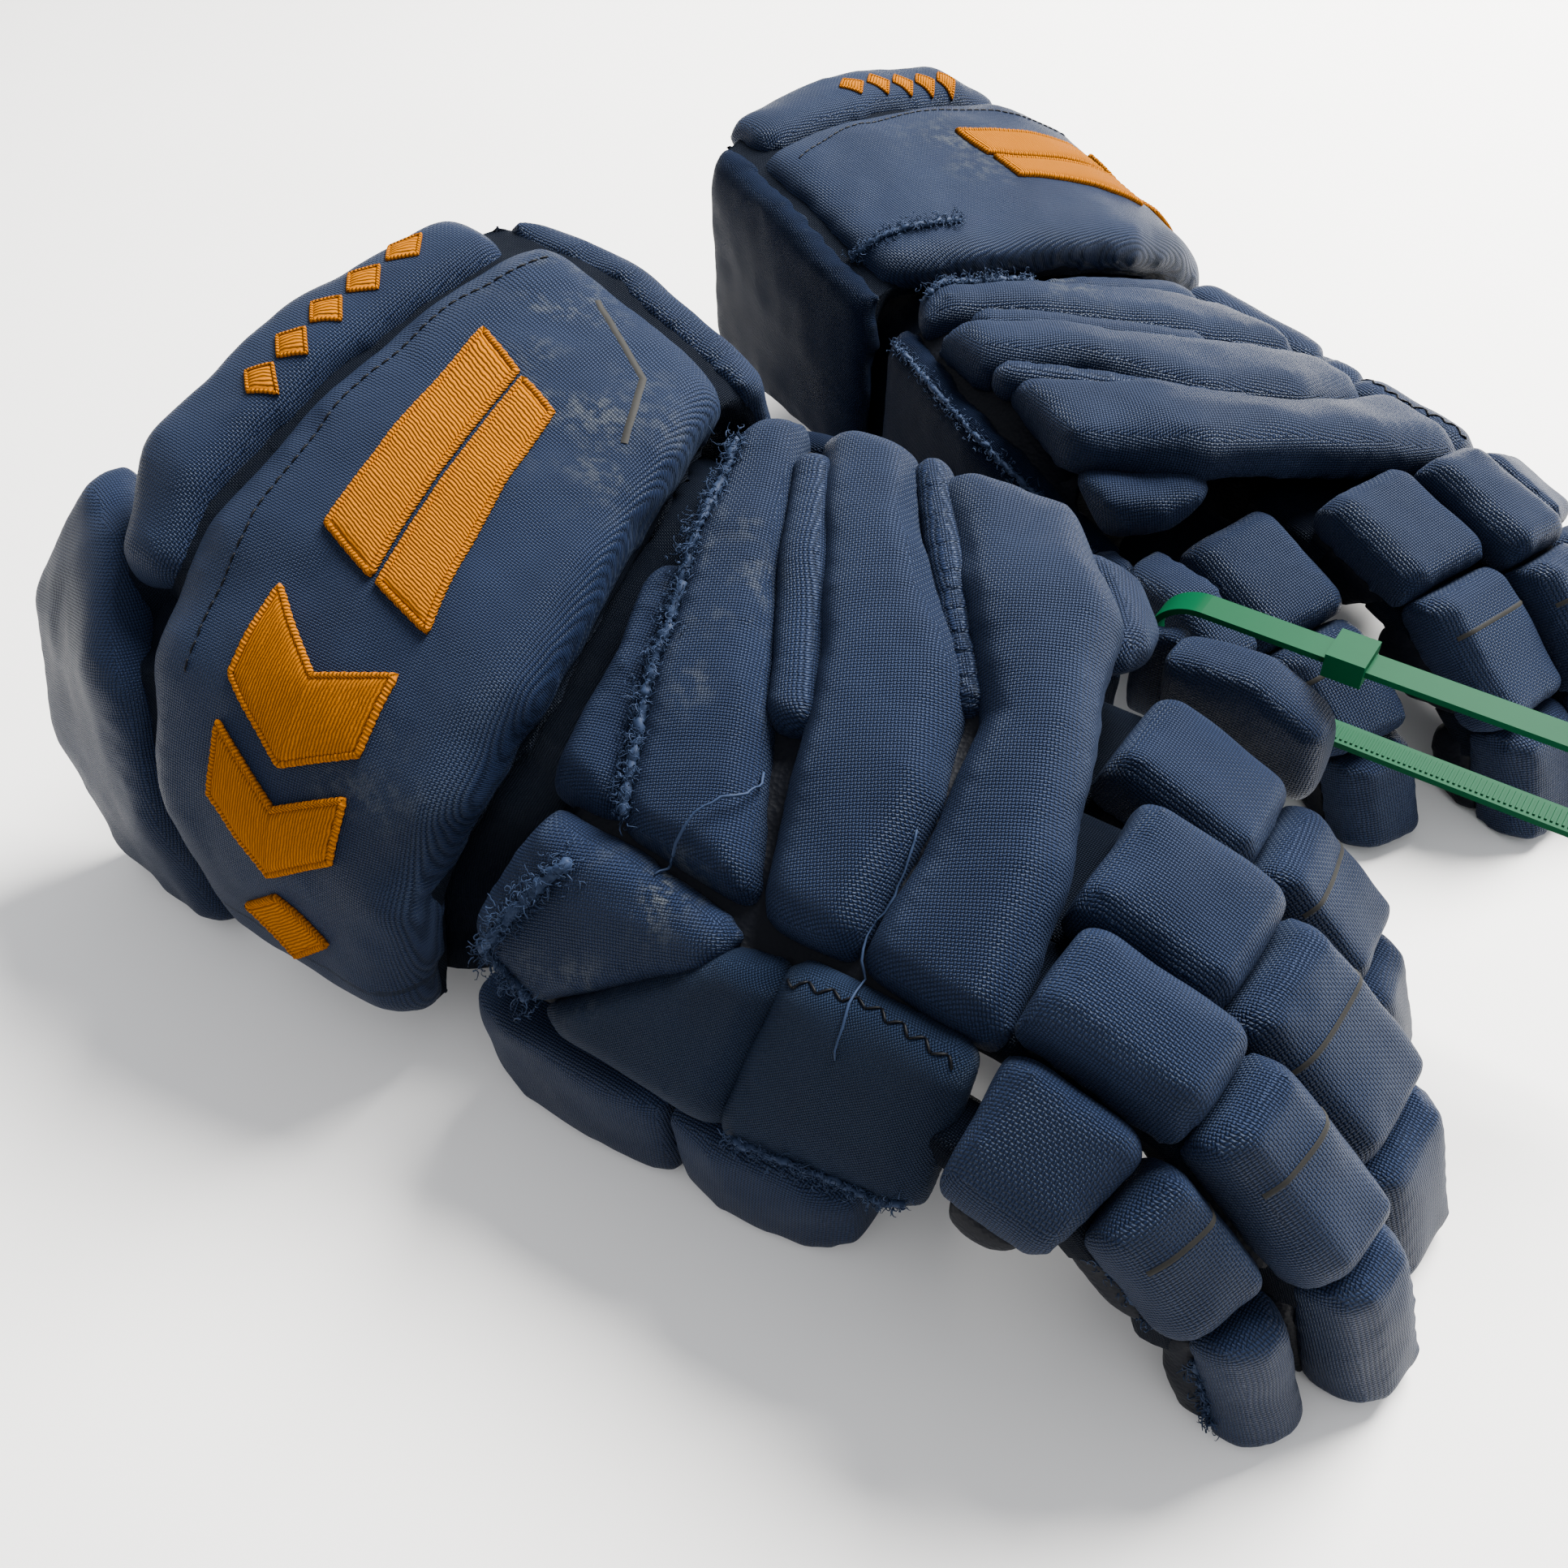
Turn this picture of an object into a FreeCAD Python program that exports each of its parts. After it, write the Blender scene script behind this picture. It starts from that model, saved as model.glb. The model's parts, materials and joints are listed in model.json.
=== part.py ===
import FreeCAD, Part
import math
import os

os.makedirs("parts", exist_ok=True)

V = FreeCAD.Vector

# ----------------------------------------------------------------------------
# Driving dimensions, mm.  Each glove is drawn as a left hand lying palm down:
# X runs from the wrist to the fingers, Y from the thumb to the little finger,
# Z up from the table.  The right glove is the mirror image, placed beside it.
# ----------------------------------------------------------------------------

GAP = 0.5                # clearance left at every hinge, each side
SEAM = 0.25              # gap between neighbouring solids of one body
HINGE_DEPTH = 12.0       # finger hinges lie this far under the pad crown
END_BEVEL = 4.0          # bevel round the ends of a finger pad
SIDE_BEVEL = 5.0         # bevel along the sides of a finger pad
LEATHER = 2.0            # leather and gusset thickness
LINING = 2.5             # lining and palm leather thickness
OPEN_BACK = 17.0         # wedge between pads on the back of a finger, degrees
OPEN_PALM = 24.0         # wedge between leathers on the palm side, degrees

# Finger slopes below level at rest, degrees, for the three pads in turn.
SLOPES = {
    "index": (15.0, 46.0, 74.0),
    "middle": (17.0, 46.0, 73.0),
    "ring": (18.0, 44.0, 73.0),
    "little": (23.0, 44.0, 72.0),
}

# Fingers: crown point of the knuckle in X and Z and the lengths of the first
# two pads, then for each of the three pads its side extents in Y, the crown
# drop at the thumb side and little-finger side, and the depths from the crown
# to the pad underside and to the palm leather.
FINGERS = {
    "index": {
        "knuckle": (125.0, 79.0),
        "lengths": (35.0, 39.0),
        "y": ((-65.0, -39.0), (-58.0, -38.5), (-56.0, -39.0)),
        "drop": ((20.0, 2.0), (14.0, 2.0), (9.0, 4.0)),
        "pad": (23.0, 18.0, 13.0),
        "depth": (34.0, 27.0, 23.0),
    },
    "middle": {
        "knuckle": (126.0, 90.0),
        "lengths": (42.0, 47.0),
        "y": ((-38.0, -12.5), (-37.5, -12.5), (-36.0, -14.0)),
        "drop": ((8.0, 4.0), (8.0, 4.0), (8.0, 5.0)),
        "pad": (16.0, 16.0, 16.0),
        "depth": (36.0, 34.0, 30.0),
    },
    "ring": {
        "knuckle": (121.0, 89.0),
        "lengths": (40.0, 48.0),
        "y": ((-11.5, 22.0), (-11.5, 21.0), (-10.0, 19.0)),
        "drop": ((6.0, 5.0), (7.0, 5.0), (7.0, 5.0)),
        "pad": (15.0, 15.0, 15.0),
        "depth": (36.0, 34.0, 30.0),
    },
    "little": {
        "knuckle": (108.0, 82.0),
        "lengths": (42.0, 40.0),
        "y": ((29.0, 61.0), (31.0, 61.0), (33.0, 58.0)),
        "drop": ((5.0, 9.0), (5.0, 9.0), (6.0, 9.0)),
        "pad": (16.0, 16.0, 16.0),
        "depth": (32.0, 30.0, 27.0),
    },
}

# Rolls over the back of the hand, as pairs of edge points from the thumb side
# to the little-finger side: (wrist-side edge, finger-side edge).
ROLL_DEPTH = 14.0
ROLL_BEVEL = 5.0
WRIST_ROLL = [
    ((6.0, -38.0, 79.5), (26.0, -38.0, 80.5)),
    ((4.0, -9.0, 90.0), (13.5, -9.0, 91.0)),
    ((-4.5, 19.0, 97.0), (3.0, 18.0, 98.5)),
]
ROLL_A = [
    ((29.0, -39.0, 80.0), (63.0, -41.0, 80.0)),
    ((16.0, -8.0, 93.0), (42.0, -4.0, 94.5)),
    ((4.0, 26.0, 104.0), (22.0, 32.0, 104.0)),
    ((-6.0, 60.0, 110.0), (4.0, 67.0, 110.0)),
]
ROLL_B = [
    ((68.0, -40.5, 78.5), (88.0, -40.5, 79.0)),
    ((57.0, -12.0, 91.0), (87.5, -8.0, 94.0)),
    ((46.5, 12.0, 98.5), (78.0, 18.0, 101.0)),
    ((27.5, 42.0, 107.0), (49.0, 46.0, 108.5)),
    ((12.0, 69.0, 110.0), (33.0, 71.0, 110.0)),
]
ROLL_C = [
    ((92.0, -41.0, 79.0), (122.0, -42.0, 78.0)),
    ((92.5, -20.0, 87.0), (116.5, -10.0, 92.0)),
    ((88.0, 12.0, 99.0), (106.5, 20.0, 102.0)),
    ((67.5, 40.0, 107.0), (99.5, 46.0, 107.0)),
    ((45.0, 71.0, 109.0), (75.0, 76.0, 103.0)),
]
KNUCKLE_ROLL = [
    ((103.0, 52.5, 95.0), (106.0, 48.0, 92.0)),
    ((96.0, 66.0, 95.0), (105.0, 63.0, 83.0)),
    ((85.0, 80.0, 94.0), (95.0, 77.0, 77.0)),
]

# Pads hanging outside the little finger's knuckle: (upper edge, lower edge).
OUTER_BLOCK = [
    ((104.8, 80.8, 76.0), (104.8, 80.8, 46.0)),
    ((124.0, 80.8, 78.0), (124.0, 80.8, 45.0)),
    ((142.0, 80.8, 69.0), (142.0, 80.8, 50.0)),
]
OUTER_BLOCK_DEPTH = 13.0
OUTER_BLOCK_BEVEL = 3.5
OUTER_TAB = [
    ((93.5, 81.2, 72.0), (93.5, 81.2, 48.0)),
    ((104.4, 81.2, 75.0), (104.4, 81.2, 46.0)),
]
OUTER_TAB_DEPTH = 4.0
OUTER_TAB_BEVEL = 1.2

INSERT_DEPTH = 6.0
INSERT_BEVEL = 1.5
INSERTS = [
    [
        ((47.0, -4.0, 91.5), (53.5, -2.5, 92.0)),
        ((25.5, 33.5, 102.5), (32.0, 34.5, 103.0)),
        ((13.0, 56.0, 107.0), (17.5, 57.0, 107.0)),
    ],
    [
        ((82.0, 15.5, 96.0), (83.8, 16.2, 96.0)),
        ((57.0, 45.0, 102.5), (60.5, 46.3, 103.0)),
        ((38.5, 69.0, 106.0), (42.0, 70.0, 106.0)),
    ],
]

# Pads down the index-finger side of the hand: (upper edge, lower edge).
SIDE_PAD_DEPTH = 8.0
SIDE_PAD_BEVEL = 4.0
SIDE_PADS = [
    [
        ((13.0, -46.0, 78.0), (3.0, -68.0, 55.0)),
        ((36.0, -47.0, 77.0), (24.0, -72.0, 50.0)),
        ((64.0, -49.0, 75.0), (62.0, -54.0, 70.0)),
    ],
    [
        ((66.5, -52.0, 71.0), (27.0, -74.0, 46.0)),
        ((78.5, -50.5, 73.0), (74.0, -73.0, 43.0)),
    ],
    [
        ((80.5, -49.0, 75.0), (76.0, -74.0, 43.0)),
        ((119.5, -49.0, 75.0), (118.5, -67.0, 45.0)),
    ],
]

# Long panel down the little-finger side: (upper edge, lower edge).
ULNAR_PAD_DEPTH = 10.0
PANEL_BEVEL = 5.0
ULNAR_PAD = [
    ((-6.0, 79.0, 99.0), (-4.0, 87.0, 40.0)),
    ((45.0, 87.0, 91.0), (45.0, 90.0, 38.0)),
    ((93.0, 76.0, 66.0), (90.0, 77.0, 38.0)),
]

# Cuff: the main roll arches over the wrist from the thumb side to the crease.
CUFF_DEPTH = 16.0
CUFF_BEVEL = 7.0
CUFF_ROLL = [
    ((-80.0, -84.0, 14.0), (-14.0, -86.0, 17.0)),
    ((-87.0, -84.0, 62.0), (-8.0, -77.0, 56.0)),
    ((-92.0, -67.0, 94.0), (-3.0, -58.0, 79.0)),
    ((-93.0, -38.0, 114.0), (1.0, -30.0, 96.0)),
    ((-91.0, 4.0, 126.0), (-4.0, 4.0, 105.0)),
    ((-86.0, 40.0, 133.0), (-10.0, 36.0, 110.0)),
    ((-79.0, 74.0, 136.0), (-18.0, 69.0, 111.0)),
]
REAR_FLAP = [
    ((-115.0, -54.0, 99.0), (-97.5, -53.0, 103.0)),
    ((-122.0, -30.0, 120.0), (-98.0, -32.0, 117.5)),
    ((-120.0, 18.0, 132.0), (-94.5, 12.0, 129.0)),
    ((-108.0, 68.0, 136.0), (-87.5, 66.0, 134.5)),
]
THUMB_FLAP = [
    ((-143.0, -34.0, 108.0), (-120.0, -46.0, 101.0)),
    ((-161.0, -57.0, 76.0), (-104.0, -73.0, 83.0)),
    ((-157.0, -74.0, 38.0), (-93.0, -85.0, 44.0)),
    ((-137.0, -82.0, 2.0), (-90.0, -84.0, 4.0)),
]
CUFF_ULNAR = [
    ((-99.0, 84.0, 131.0), (-98.0, 90.0, 42.0)),
    ((-60.0, 84.0, 126.0), (-60.0, 92.0, 38.0)),
    ((-16.0, 80.0, 107.0), (-14.0, 90.0, 34.0)),
]
CUFF_FLAP_DEPTH = 12.0
CUFF_PANEL_DEPTH = 8.0

WRIST_HINGE = (-9.0, 52.0)

# Thumb, tucked under the index side.  Box sections along X: (x, low y, high y,
# low z, high z).
THUMB_BASE = [
    (2.0, -73.0, -52.0, 4.0, 34.0),
    (14.0, -77.0, -48.0, 1.0, 35.0),
    (44.0, -76.0, -47.0, 0.0, 35.0),
    (58.0, -73.0, -47.0, 1.0, 33.0),
]
THUMB_TIP = [
    (59.5, -72.0, -47.0, 1.0, 32.5),
    (72.0, -74.0, -47.0, 0.0, 33.0),
    (94.0, -70.0, -48.0, 0.0, 31.0),
    (104.0, -64.0, -52.0, 4.0, 24.0),
]
THUMB_HINGE = (8.0, -62.0)
THUMB_KNUCKLE = (58.8, -75.5)
THUMB_PAD_DEPTH = 9.0

# Cable tie looped loosely beside the little fingers.
TIE_WIDTH = 7.0
TIE_THICKNESS = 1.6
TIE_ENDS = (93.0, 226.0)
TIE_Y = (84.0, 88.0)
TIE_Z = (55.0, 80.0)
TIE_HEAD_X = 140.0
TIE_HEAD = (9.0, 10.0, 6.5)

# Right glove: it lies flatter and narrower than the left one, turned in plan.
RIGHT_SQUASH = (1.0, 0.88, 0.77)
RIGHT_YAW = -22.0
RIGHT_SHIFT = (3.0, 217.0, 0.0)


# ----------------------------------------------------------------------------
# Shape helpers
# ----------------------------------------------------------------------------

def vec(point):
    """Vector from a tuple."""
    return V(point[0], point[1], point[2])


def flat(points):
    """True where the points share one plane."""
    normal = V(0, 0, 0)
    for i in range(1, len(points) - 1):
        normal = normal + (points[i] - points[0]).cross(points[i + 1] - points[0])
    normal = normal.normalize()
    return all(abs(normal.dot(p - points[0])) < 1e-6 for p in points)


def facet(points):
    """One flat face, or triangles where the corners are not in one plane."""
    if len(points) == 3 or flat(points):
        return [Part.Face(Part.makePolygon(points + [points[0]]))]
    faces = []
    for i in range(1, len(points) - 1):
        ring = [points[0], points[i], points[i + 1], points[0]]
        faces.append(Part.Face(Part.makePolygon(ring)))
    return faces


def skin(rings):
    """Closed solid through a list of rings that have the same point count."""
    faces = facet(list(reversed(rings[0]))) + facet(rings[-1])
    count = len(rings[0])
    for low, high in zip(rings[:-1], rings[1:]):
        for i in range(count):
            j = (i + 1) % count
            faces += facet([low[i], low[j], high[j], high[i]])
    solid = Part.Solid(Part.makeShell(faces))
    if solid.Volume < 0:
        solid.reverse()
    return solid


def toward(a, b, distance):
    """Point the given distance from a on the way to b."""
    return a + (b - a).normalize() * distance


def station_normals(edges, inside):
    """Outward normal at every station of a pad."""
    normals = []
    for i in range(len(edges)):
        before = edges[max(i - 1, 0)]
        after = edges[min(i + 1, len(edges) - 1)]
        along = after[0] + after[1] - before[0] - before[1]
        across = edges[i][1] - edges[i][0]
        normal = along.cross(across).normalize()
        if normal.dot(edges[i][0] - inside) < 0:
            normal = normal * -1
        normals.append(normal)
    return normals


def pad(pairs, depth, bevel, inside):
    """Foam pad along pairs of edge points, bevelled round its top."""
    edges = [(vec(a), vec(b)) for a, b in pairs]
    normals = station_normals(edges, inside)
    first = (toward(edges[0][0], edges[1][0], bevel), toward(edges[0][1], edges[1][1], bevel))
    last = (toward(edges[-1][0], edges[-2][0], bevel), toward(edges[-1][1], edges[-2][1], bevel))
    runs = [edges[0], first] + edges[1:-1] + [last, edges[-1]]
    ups = [normals[0]] + normals[:1] + normals[1:-1] + [normals[-1], normals[-1]]
    rings = []
    for i, (edge, up) in enumerate(zip(runs, ups)):
        low, high = edge
        lowered = bevel if i in (0, len(runs) - 1) else 0.0
        side = min(bevel, (high - low).Length * 0.3)
        across = (high - low).normalize() * side
        ring = [
            low - up * depth,
            low - up * (side + 0.5 * lowered),
            low + across - up * lowered,
            high - across - up * lowered,
            high - up * (side + 0.5 * lowered),
            high - up * depth,
        ]
        rings.append(ring)
    return skin(rings)


def box_run(sections):
    """Solid through bevelled box sections given as x, y and z limits."""
    rings = []
    for x, y0, y1, z0, z1 in sections:
        cut = 0.22 * min(y1 - y0, z1 - z0)
        ring = [
            V(x, y0 + cut, z0),
            V(x, y1 - cut, z0),
            V(x, y1, z0 + cut),
            V(x, y1, z1 - cut),
            V(x, y1 - cut, z1),
            V(x, y0 + cut, z1),
            V(x, y0, z1 - cut),
            V(x, y0, z0 + cut),
        ]
        rings.append(ring)
    return skin(rings)


def slab(corners, thickness, inside):
    """Plain panel: a corner ring, thickened away from its outer face."""
    points = [vec(c) for c in corners]
    centre = sum(points, V(0, 0, 0)) * (1.0 / len(points))
    normal = (points[1] - points[0]).cross(points[2] - points[0]).normalize()
    if normal.dot(centre - inside) < 0:
        normal = normal * -1
    return skin([points, [p - normal * thickness for p in points]])


# ----------------------------------------------------------------------------
# Fingers
# ----------------------------------------------------------------------------

class Segment:
    """One finger pad run: crown start, slope, length and its end planes."""

    def __init__(self, start, slope, length):
        self.x = start[0]
        self.z = start[1]
        self.slope = math.radians(slope)
        self.length = length

    def point(self, s, n, y):
        """Point at s along the crown line and n above it."""
        x = self.x + s * math.cos(self.slope) + n * math.sin(self.slope)
        z = self.z - s * math.sin(self.slope) + n * math.cos(self.slope)
        return V(x, y, z)

    def local(self, x, z):
        """Along and above distances of a point from the crown start."""
        dx = x - self.x
        dz = z - self.z
        s = dx * math.cos(self.slope) - dz * math.sin(self.slope)
        n = dx * math.sin(self.slope) + dz * math.cos(self.slope)
        return s, n


def hinge_point(crown, before, after):
    """Hinge below a crown point, square to the mean of the two slopes."""
    mean = math.radians(0.5 * (before + after))
    x = crown[0] - HINGE_DEPTH * math.sin(mean)
    z = crown[1] - HINGE_DEPTH * math.cos(mean)
    return x, z


def end_plane(segment, hinge, bend, sign):
    """Function of n giving where a segment stops beside one hinge."""
    s0, n0 = segment.local(hinge[0], hinge[1])
    back = math.tan(math.radians(0.5 * (OPEN_BACK - bend)))
    palm = math.tan(math.radians(0.5 * (OPEN_PALM + bend)))

    def stop(n):
        if n > n0:
            return s0 + sign * (GAP + (n - n0) * back)
        return s0 + sign * (GAP + (n0 - n) * palm)

    return stop


def floor_plane(segment):
    """Function of n giving where a finger tip meets the table."""

    def stop(n):
        return (segment.z + n * math.cos(segment.slope)) / math.sin(segment.slope)

    return stop


def side_ring(segment, starts, ends, y, bottom, crown, bevel):
    """Side outline of a finger pad at one Y station."""
    shoulder = crown - bevel
    middle = 0.5 * (bottom + shoulder)
    if bottom < -HINGE_DEPTH < shoulder:
        middle = -HINGE_DEPTH
    levels = [bottom, middle, shoulder]
    ring = [segment.point(starts(n), n, y) for n in levels]
    ring.append(segment.point(starts(crown) + bevel, crown, y))
    ring.append(segment.point(ends(crown) - bevel, crown, y))
    ring += [segment.point(ends(n), n, y) for n in reversed(levels)]
    return ring


def finger_pad(segment, starts, ends, size):
    """Foam pad on the back of one finger segment."""
    low, high = size["y"]
    drop_low, drop_high = size["drop"]
    bottom = -size["pad"]
    inner_low = low + SIDE_BEVEL
    inner_high = high - SIDE_BEVEL
    span = inner_high - inner_low
    tilt = min(1.0, span / (span + 6.0))
    rise = max(drop_low - SIDE_BEVEL, 0.0) * tilt
    fall = max(drop_high - SIDE_BEVEL, 0.0) * tilt
    outer_low = max(bottom + 3.0, -rise - SIDE_BEVEL)
    outer_high = max(bottom + 3.0, -fall - SIDE_BEVEL)
    low_bevel = min(END_BEVEL, 0.45 * (outer_low - bottom))
    high_bevel = min(END_BEVEL, 0.45 * (outer_high - bottom))
    mid_bevel = min(END_BEVEL, 0.45 * (-rise - bottom))
    rings = [
        side_ring(segment, starts, ends, low, bottom, outer_low, low_bevel),
        side_ring(segment, starts, ends, inner_low, bottom, -rise, mid_bevel),
        side_ring(segment, starts, ends, inner_high, bottom, -fall, END_BEVEL),
        side_ring(segment, starts, ends, high, bottom, outer_high, high_bevel),
    ]
    return skin(rings)


def finger_panel(segment, starts, ends, y0, y1, n0, n1):
    """Flat leather panel filling one slab of a finger segment."""
    rings = []
    for y in (y0, y1):
        ring = [
            segment.point(starts(n0), n0, y),
            segment.point(starts(n1), n1, y),
            segment.point(ends(n1), n1, y),
            segment.point(ends(n0), n0, y),
        ]
        rings.append(ring)
    return skin(rings)


def finger_segment(segment, starts, ends, size, closed):
    """Pad, two gussets and the palm leather round one finger stall."""
    low, high = size["y"]
    top = -size["pad"] - SEAM
    base = -size["depth"]
    inner = base + LEATHER
    solids = [finger_pad(segment, starts, ends, size)]
    solids.append(finger_panel(segment, starts, ends, low, high, base, inner - SEAM))
    low_side = (low, low + LEATHER)
    high_side = (high - LEATHER, high)
    for y0, y1 in (low_side, high_side):
        solids.append(finger_panel(segment, starts, ends, y0, y1, inner, top))
    if closed:
        def cap(n):
            return ends(n) - 3.0
        solids.append(finger_panel(
            segment, cap, ends, low + LEATHER + SEAM, high - LEATHER - SEAM, inner, top))
    return solids


def finger(name):
    """Solids and hinge points of one whole finger."""
    size = FINGERS[name]
    slopes = SLOPES[name]
    crowns = [size["knuckle"]]
    for slope, length in zip(slopes, size["lengths"]):
        x = crowns[-1][0] + length * math.cos(math.radians(slope))
        z = crowns[-1][1] - length * math.sin(math.radians(slope))
        crowns.append((x, z))
    before = (0.0,) + slopes[:2]
    hinges = [hinge_point(c, b, a) for c, b, a in zip(crowns, before, slopes)]
    groups = []
    for i in range(3):
        part = {key: size[key][i] for key in ("y", "drop", "pad", "depth")}
        segment = Segment(crowns[i], slopes[i], 0.0)
        starts = end_plane(segment, hinges[i], slopes[i] - before[i], 1.0)
        if i < 2:
            ends = end_plane(segment, hinges[i + 1], slopes[i + 1] - slopes[i], -1.0)
        else:
            ends = floor_plane(segment)
        groups.append(finger_segment(segment, starts, ends, part, i == 2))
    return groups, hinges


# ----------------------------------------------------------------------------
# Hand, thumb and cuff
# ----------------------------------------------------------------------------

HAND_INSIDE = V(50.0, 5.0, 45.0)
CUFF_INSIDE = V(-50.0, 0.0, 45.0)


def rolls():
    """The padded rolls over the back of the hand, by node name."""
    runs = {
        "wrist_roll": WRIST_ROLL,
        "roll_a": ROLL_A,
        "roll_b": ROLL_B,
        "roll_c": ROLL_C,
        "knuckle_roll": KNUCKLE_ROLL,
    }
    pads = {name: [pad(run, ROLL_DEPTH, ROLL_BEVEL, HAND_INSIDE)] for name, run in runs.items()}
    pads["knuckle_roll"].append(pad(OUTER_BLOCK, OUTER_BLOCK_DEPTH, OUTER_BLOCK_BEVEL, HAND_INSIDE))
    pads["knuckle_roll"].append(pad(OUTER_TAB, OUTER_TAB_DEPTH, OUTER_TAB_BEVEL, HAND_INSIDE))
    return pads


def inserts():
    """Thin flex rolls set into the creases between the main rolls."""
    return [pad(run, INSERT_DEPTH, INSERT_BEVEL, HAND_INSIDE) for run in INSERTS]


def side_pads():
    """Pads down the index side of the hand."""
    return [pad(run, SIDE_PAD_DEPTH, SIDE_PAD_BEVEL, HAND_INSIDE) for run in SIDE_PADS]


def hand_lining():
    """Thin lining panels under the rolls, round the hand cavity."""
    panels = [
        [(2.0, -40.0, 61.0), (112.0, -40.0, 61.0), (112.0, -8.0, 74.0), (2.0, -8.0, 74.0)],
        [(2.0, -7.5, 74.2), (106.0, -7.5, 74.2), (106.0, 28.0, 86.0), (2.0, 28.0, 86.0)],
        [(2.0, 29.5, 86.5), (90.0, 29.5, 86.5), (76.0, 66.0, 88.0), (2.0, 66.0, 88.0)],
    ]
    return [slab(corners, LINING, HAND_INSIDE) for corners in panels]


def palm():
    """Leather palm in three flat panels under the hand cavity."""
    panels = [
        [(4.0, -42.0, 14.0), (60.0, -42.0, 26.0), (60.0, 72.0, 26.0), (4.0, 72.0, 14.0)],
        [(60.5, -42.0, 26.2), (104.0, -42.0, 40.0), (104.0, 26.0, 40.0), (60.5, 26.0, 26.2)],
        [(60.5, 26.5, 26.2), (90.0, 26.5, 35.5), (90.0, 72.0, 35.5), (60.5, 72.0, 26.2)],
    ]
    return [slab(corners, LINING, HAND_INSIDE) for corners in panels]


def palm_sides():
    """Leather side walls that join the palm to the padded back."""
    panels = [
        [(4.0, -44.0, 15.0), (60.0, -44.0, 27.0), (60.0, -44.0, 61.0), (4.0, -44.0, 61.0)],
        [(60.5, -44.0, 27.0), (104.0, -44.0, 41.0), (110.0, -44.0, 60.0), (60.5, -44.0, 61.0)],
        [(4.0, 75.0, 15.0), (60.0, 75.0, 27.0), (60.0, 75.0, 37.0), (4.0, 75.0, 37.0)],
    ]
    return [slab(corners, LEATHER, HAND_INSIDE) for corners in panels]


def thumb_stall(sections, closed):
    """Pad, leather and two gussets round the thumb, with a cap on a closed end."""
    pad_run = [(x, y0, y1, z1 - THUMB_PAD_DEPTH, z1) for x, y0, y1, z0, z1 in sections]
    leather_run = [(x, y0, y1, z0, z0 + LEATHER) for x, y0, y1, z0, z1 in sections]
    walls = []
    for x, y0, y1, z0, z1 in sections:
        walls.append((x, y0, y1, z0 + LEATHER + SEAM, z1 - THUMB_PAD_DEPTH - SEAM))
    outer_run = [(x, y0, y0 + LEATHER, z0, z1) for x, y0, y1, z0, z1 in walls]
    inner_run = [(x, y1 - LEATHER, y1, z0, z1) for x, y0, y1, z0, z1 in walls]
    runs = [pad_run, leather_run, outer_run, inner_run]
    if closed:
        x, y0, y1, z0, z1 = walls[-1]
        inset = LEATHER + SEAM
        runs.append([(x - inset, y0 + inset, y1 - inset, z0, z1), (x, y0 + inset, y1 - inset, z0, z1)])
    return [box_run(run) for run in runs]


def cuff_lining():
    """Lining under the cuff roll, open at both ends and underneath."""
    panels = [
        [(-78.0, -66.0, 30.0), (-16.0, -66.0, 30.0), (-16.0, -56.0, 54.0), (-78.0, -62.0, 64.0)],
        [(-82.0, -32.0, 92.0), (-16.0, -26.0, 76.0), (-16.0, 26.0, 86.0), (-78.0, 30.0, 107.0)],
    ]
    return [slab(corners, LINING, CUFF_INSIDE) for corners in panels]


def cuff_strap():
    """Elastic strap across the inside of the wrist, under the cuff."""
    low = [(-74.0, -66.0, 12.0), (-22.0, -66.0, 14.0), (-22.0, 72.0, 30.0), (-74.0, 72.0, 30.0)]
    wall = [(-74.0, 75.0, 30.0), (-22.0, 75.0, 30.0), (-22.0, 75.0, 58.0), (-74.0, 75.0, 58.0)]
    return [slab(low, LINING, CUFF_INSIDE), slab(wall, LEATHER, CUFF_INSIDE)]


def glove():
    """All solids of one left glove by node name, and its hinge points."""
    nodes = rolls()
    nodes["flex_inserts"] = inserts()
    nodes["index_side_pads"] = side_pads()
    nodes["ulnar_side_pad"] = [pad(ULNAR_PAD, ULNAR_PAD_DEPTH, PANEL_BEVEL, HAND_INSIDE)]
    nodes["hand_lining"] = hand_lining()
    nodes["palm"] = palm() + palm_sides()
    nodes["thumb_base"] = thumb_stall(THUMB_BASE, False)
    nodes["thumb_tip"] = thumb_stall(THUMB_TIP, True)
    nodes["cuff_roll"] = [pad(CUFF_ROLL, CUFF_DEPTH, CUFF_BEVEL, CUFF_INSIDE)]
    nodes["cuff_rear_flap"] = [pad(REAR_FLAP, CUFF_FLAP_DEPTH, PANEL_BEVEL, CUFF_INSIDE)]
    nodes["cuff_thumb_flap"] = [pad(THUMB_FLAP, CUFF_FLAP_DEPTH, PANEL_BEVEL, CUFF_INSIDE)]
    nodes["cuff_ulnar_panel"] = [pad(CUFF_ULNAR, CUFF_PANEL_DEPTH, PANEL_BEVEL, CUFF_INSIDE)]
    nodes["cuff_lining"] = cuff_lining() + cuff_strap()
    hinges = {
        "wrist": V(WRIST_HINGE[0], 0.0, WRIST_HINGE[1]),
        "thumb": V(THUMB_HINGE[0], THUMB_HINGE[1], 20.0),
        "thumb_tip": V(THUMB_KNUCKLE[0], THUMB_KNUCKLE[1], 20.0),
    }
    for name in FINGERS:
        groups, points = finger(name)
        for part, group, point in zip(("base", "middle", "tip"), groups, points):
            nodes[name + "_" + part] = group
            mid = 0.5 * sum(FINGERS[name]["y"][0])
            hinges[name + "_" + part] = V(point[0], mid, point[1])
    return nodes, hinges


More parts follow.
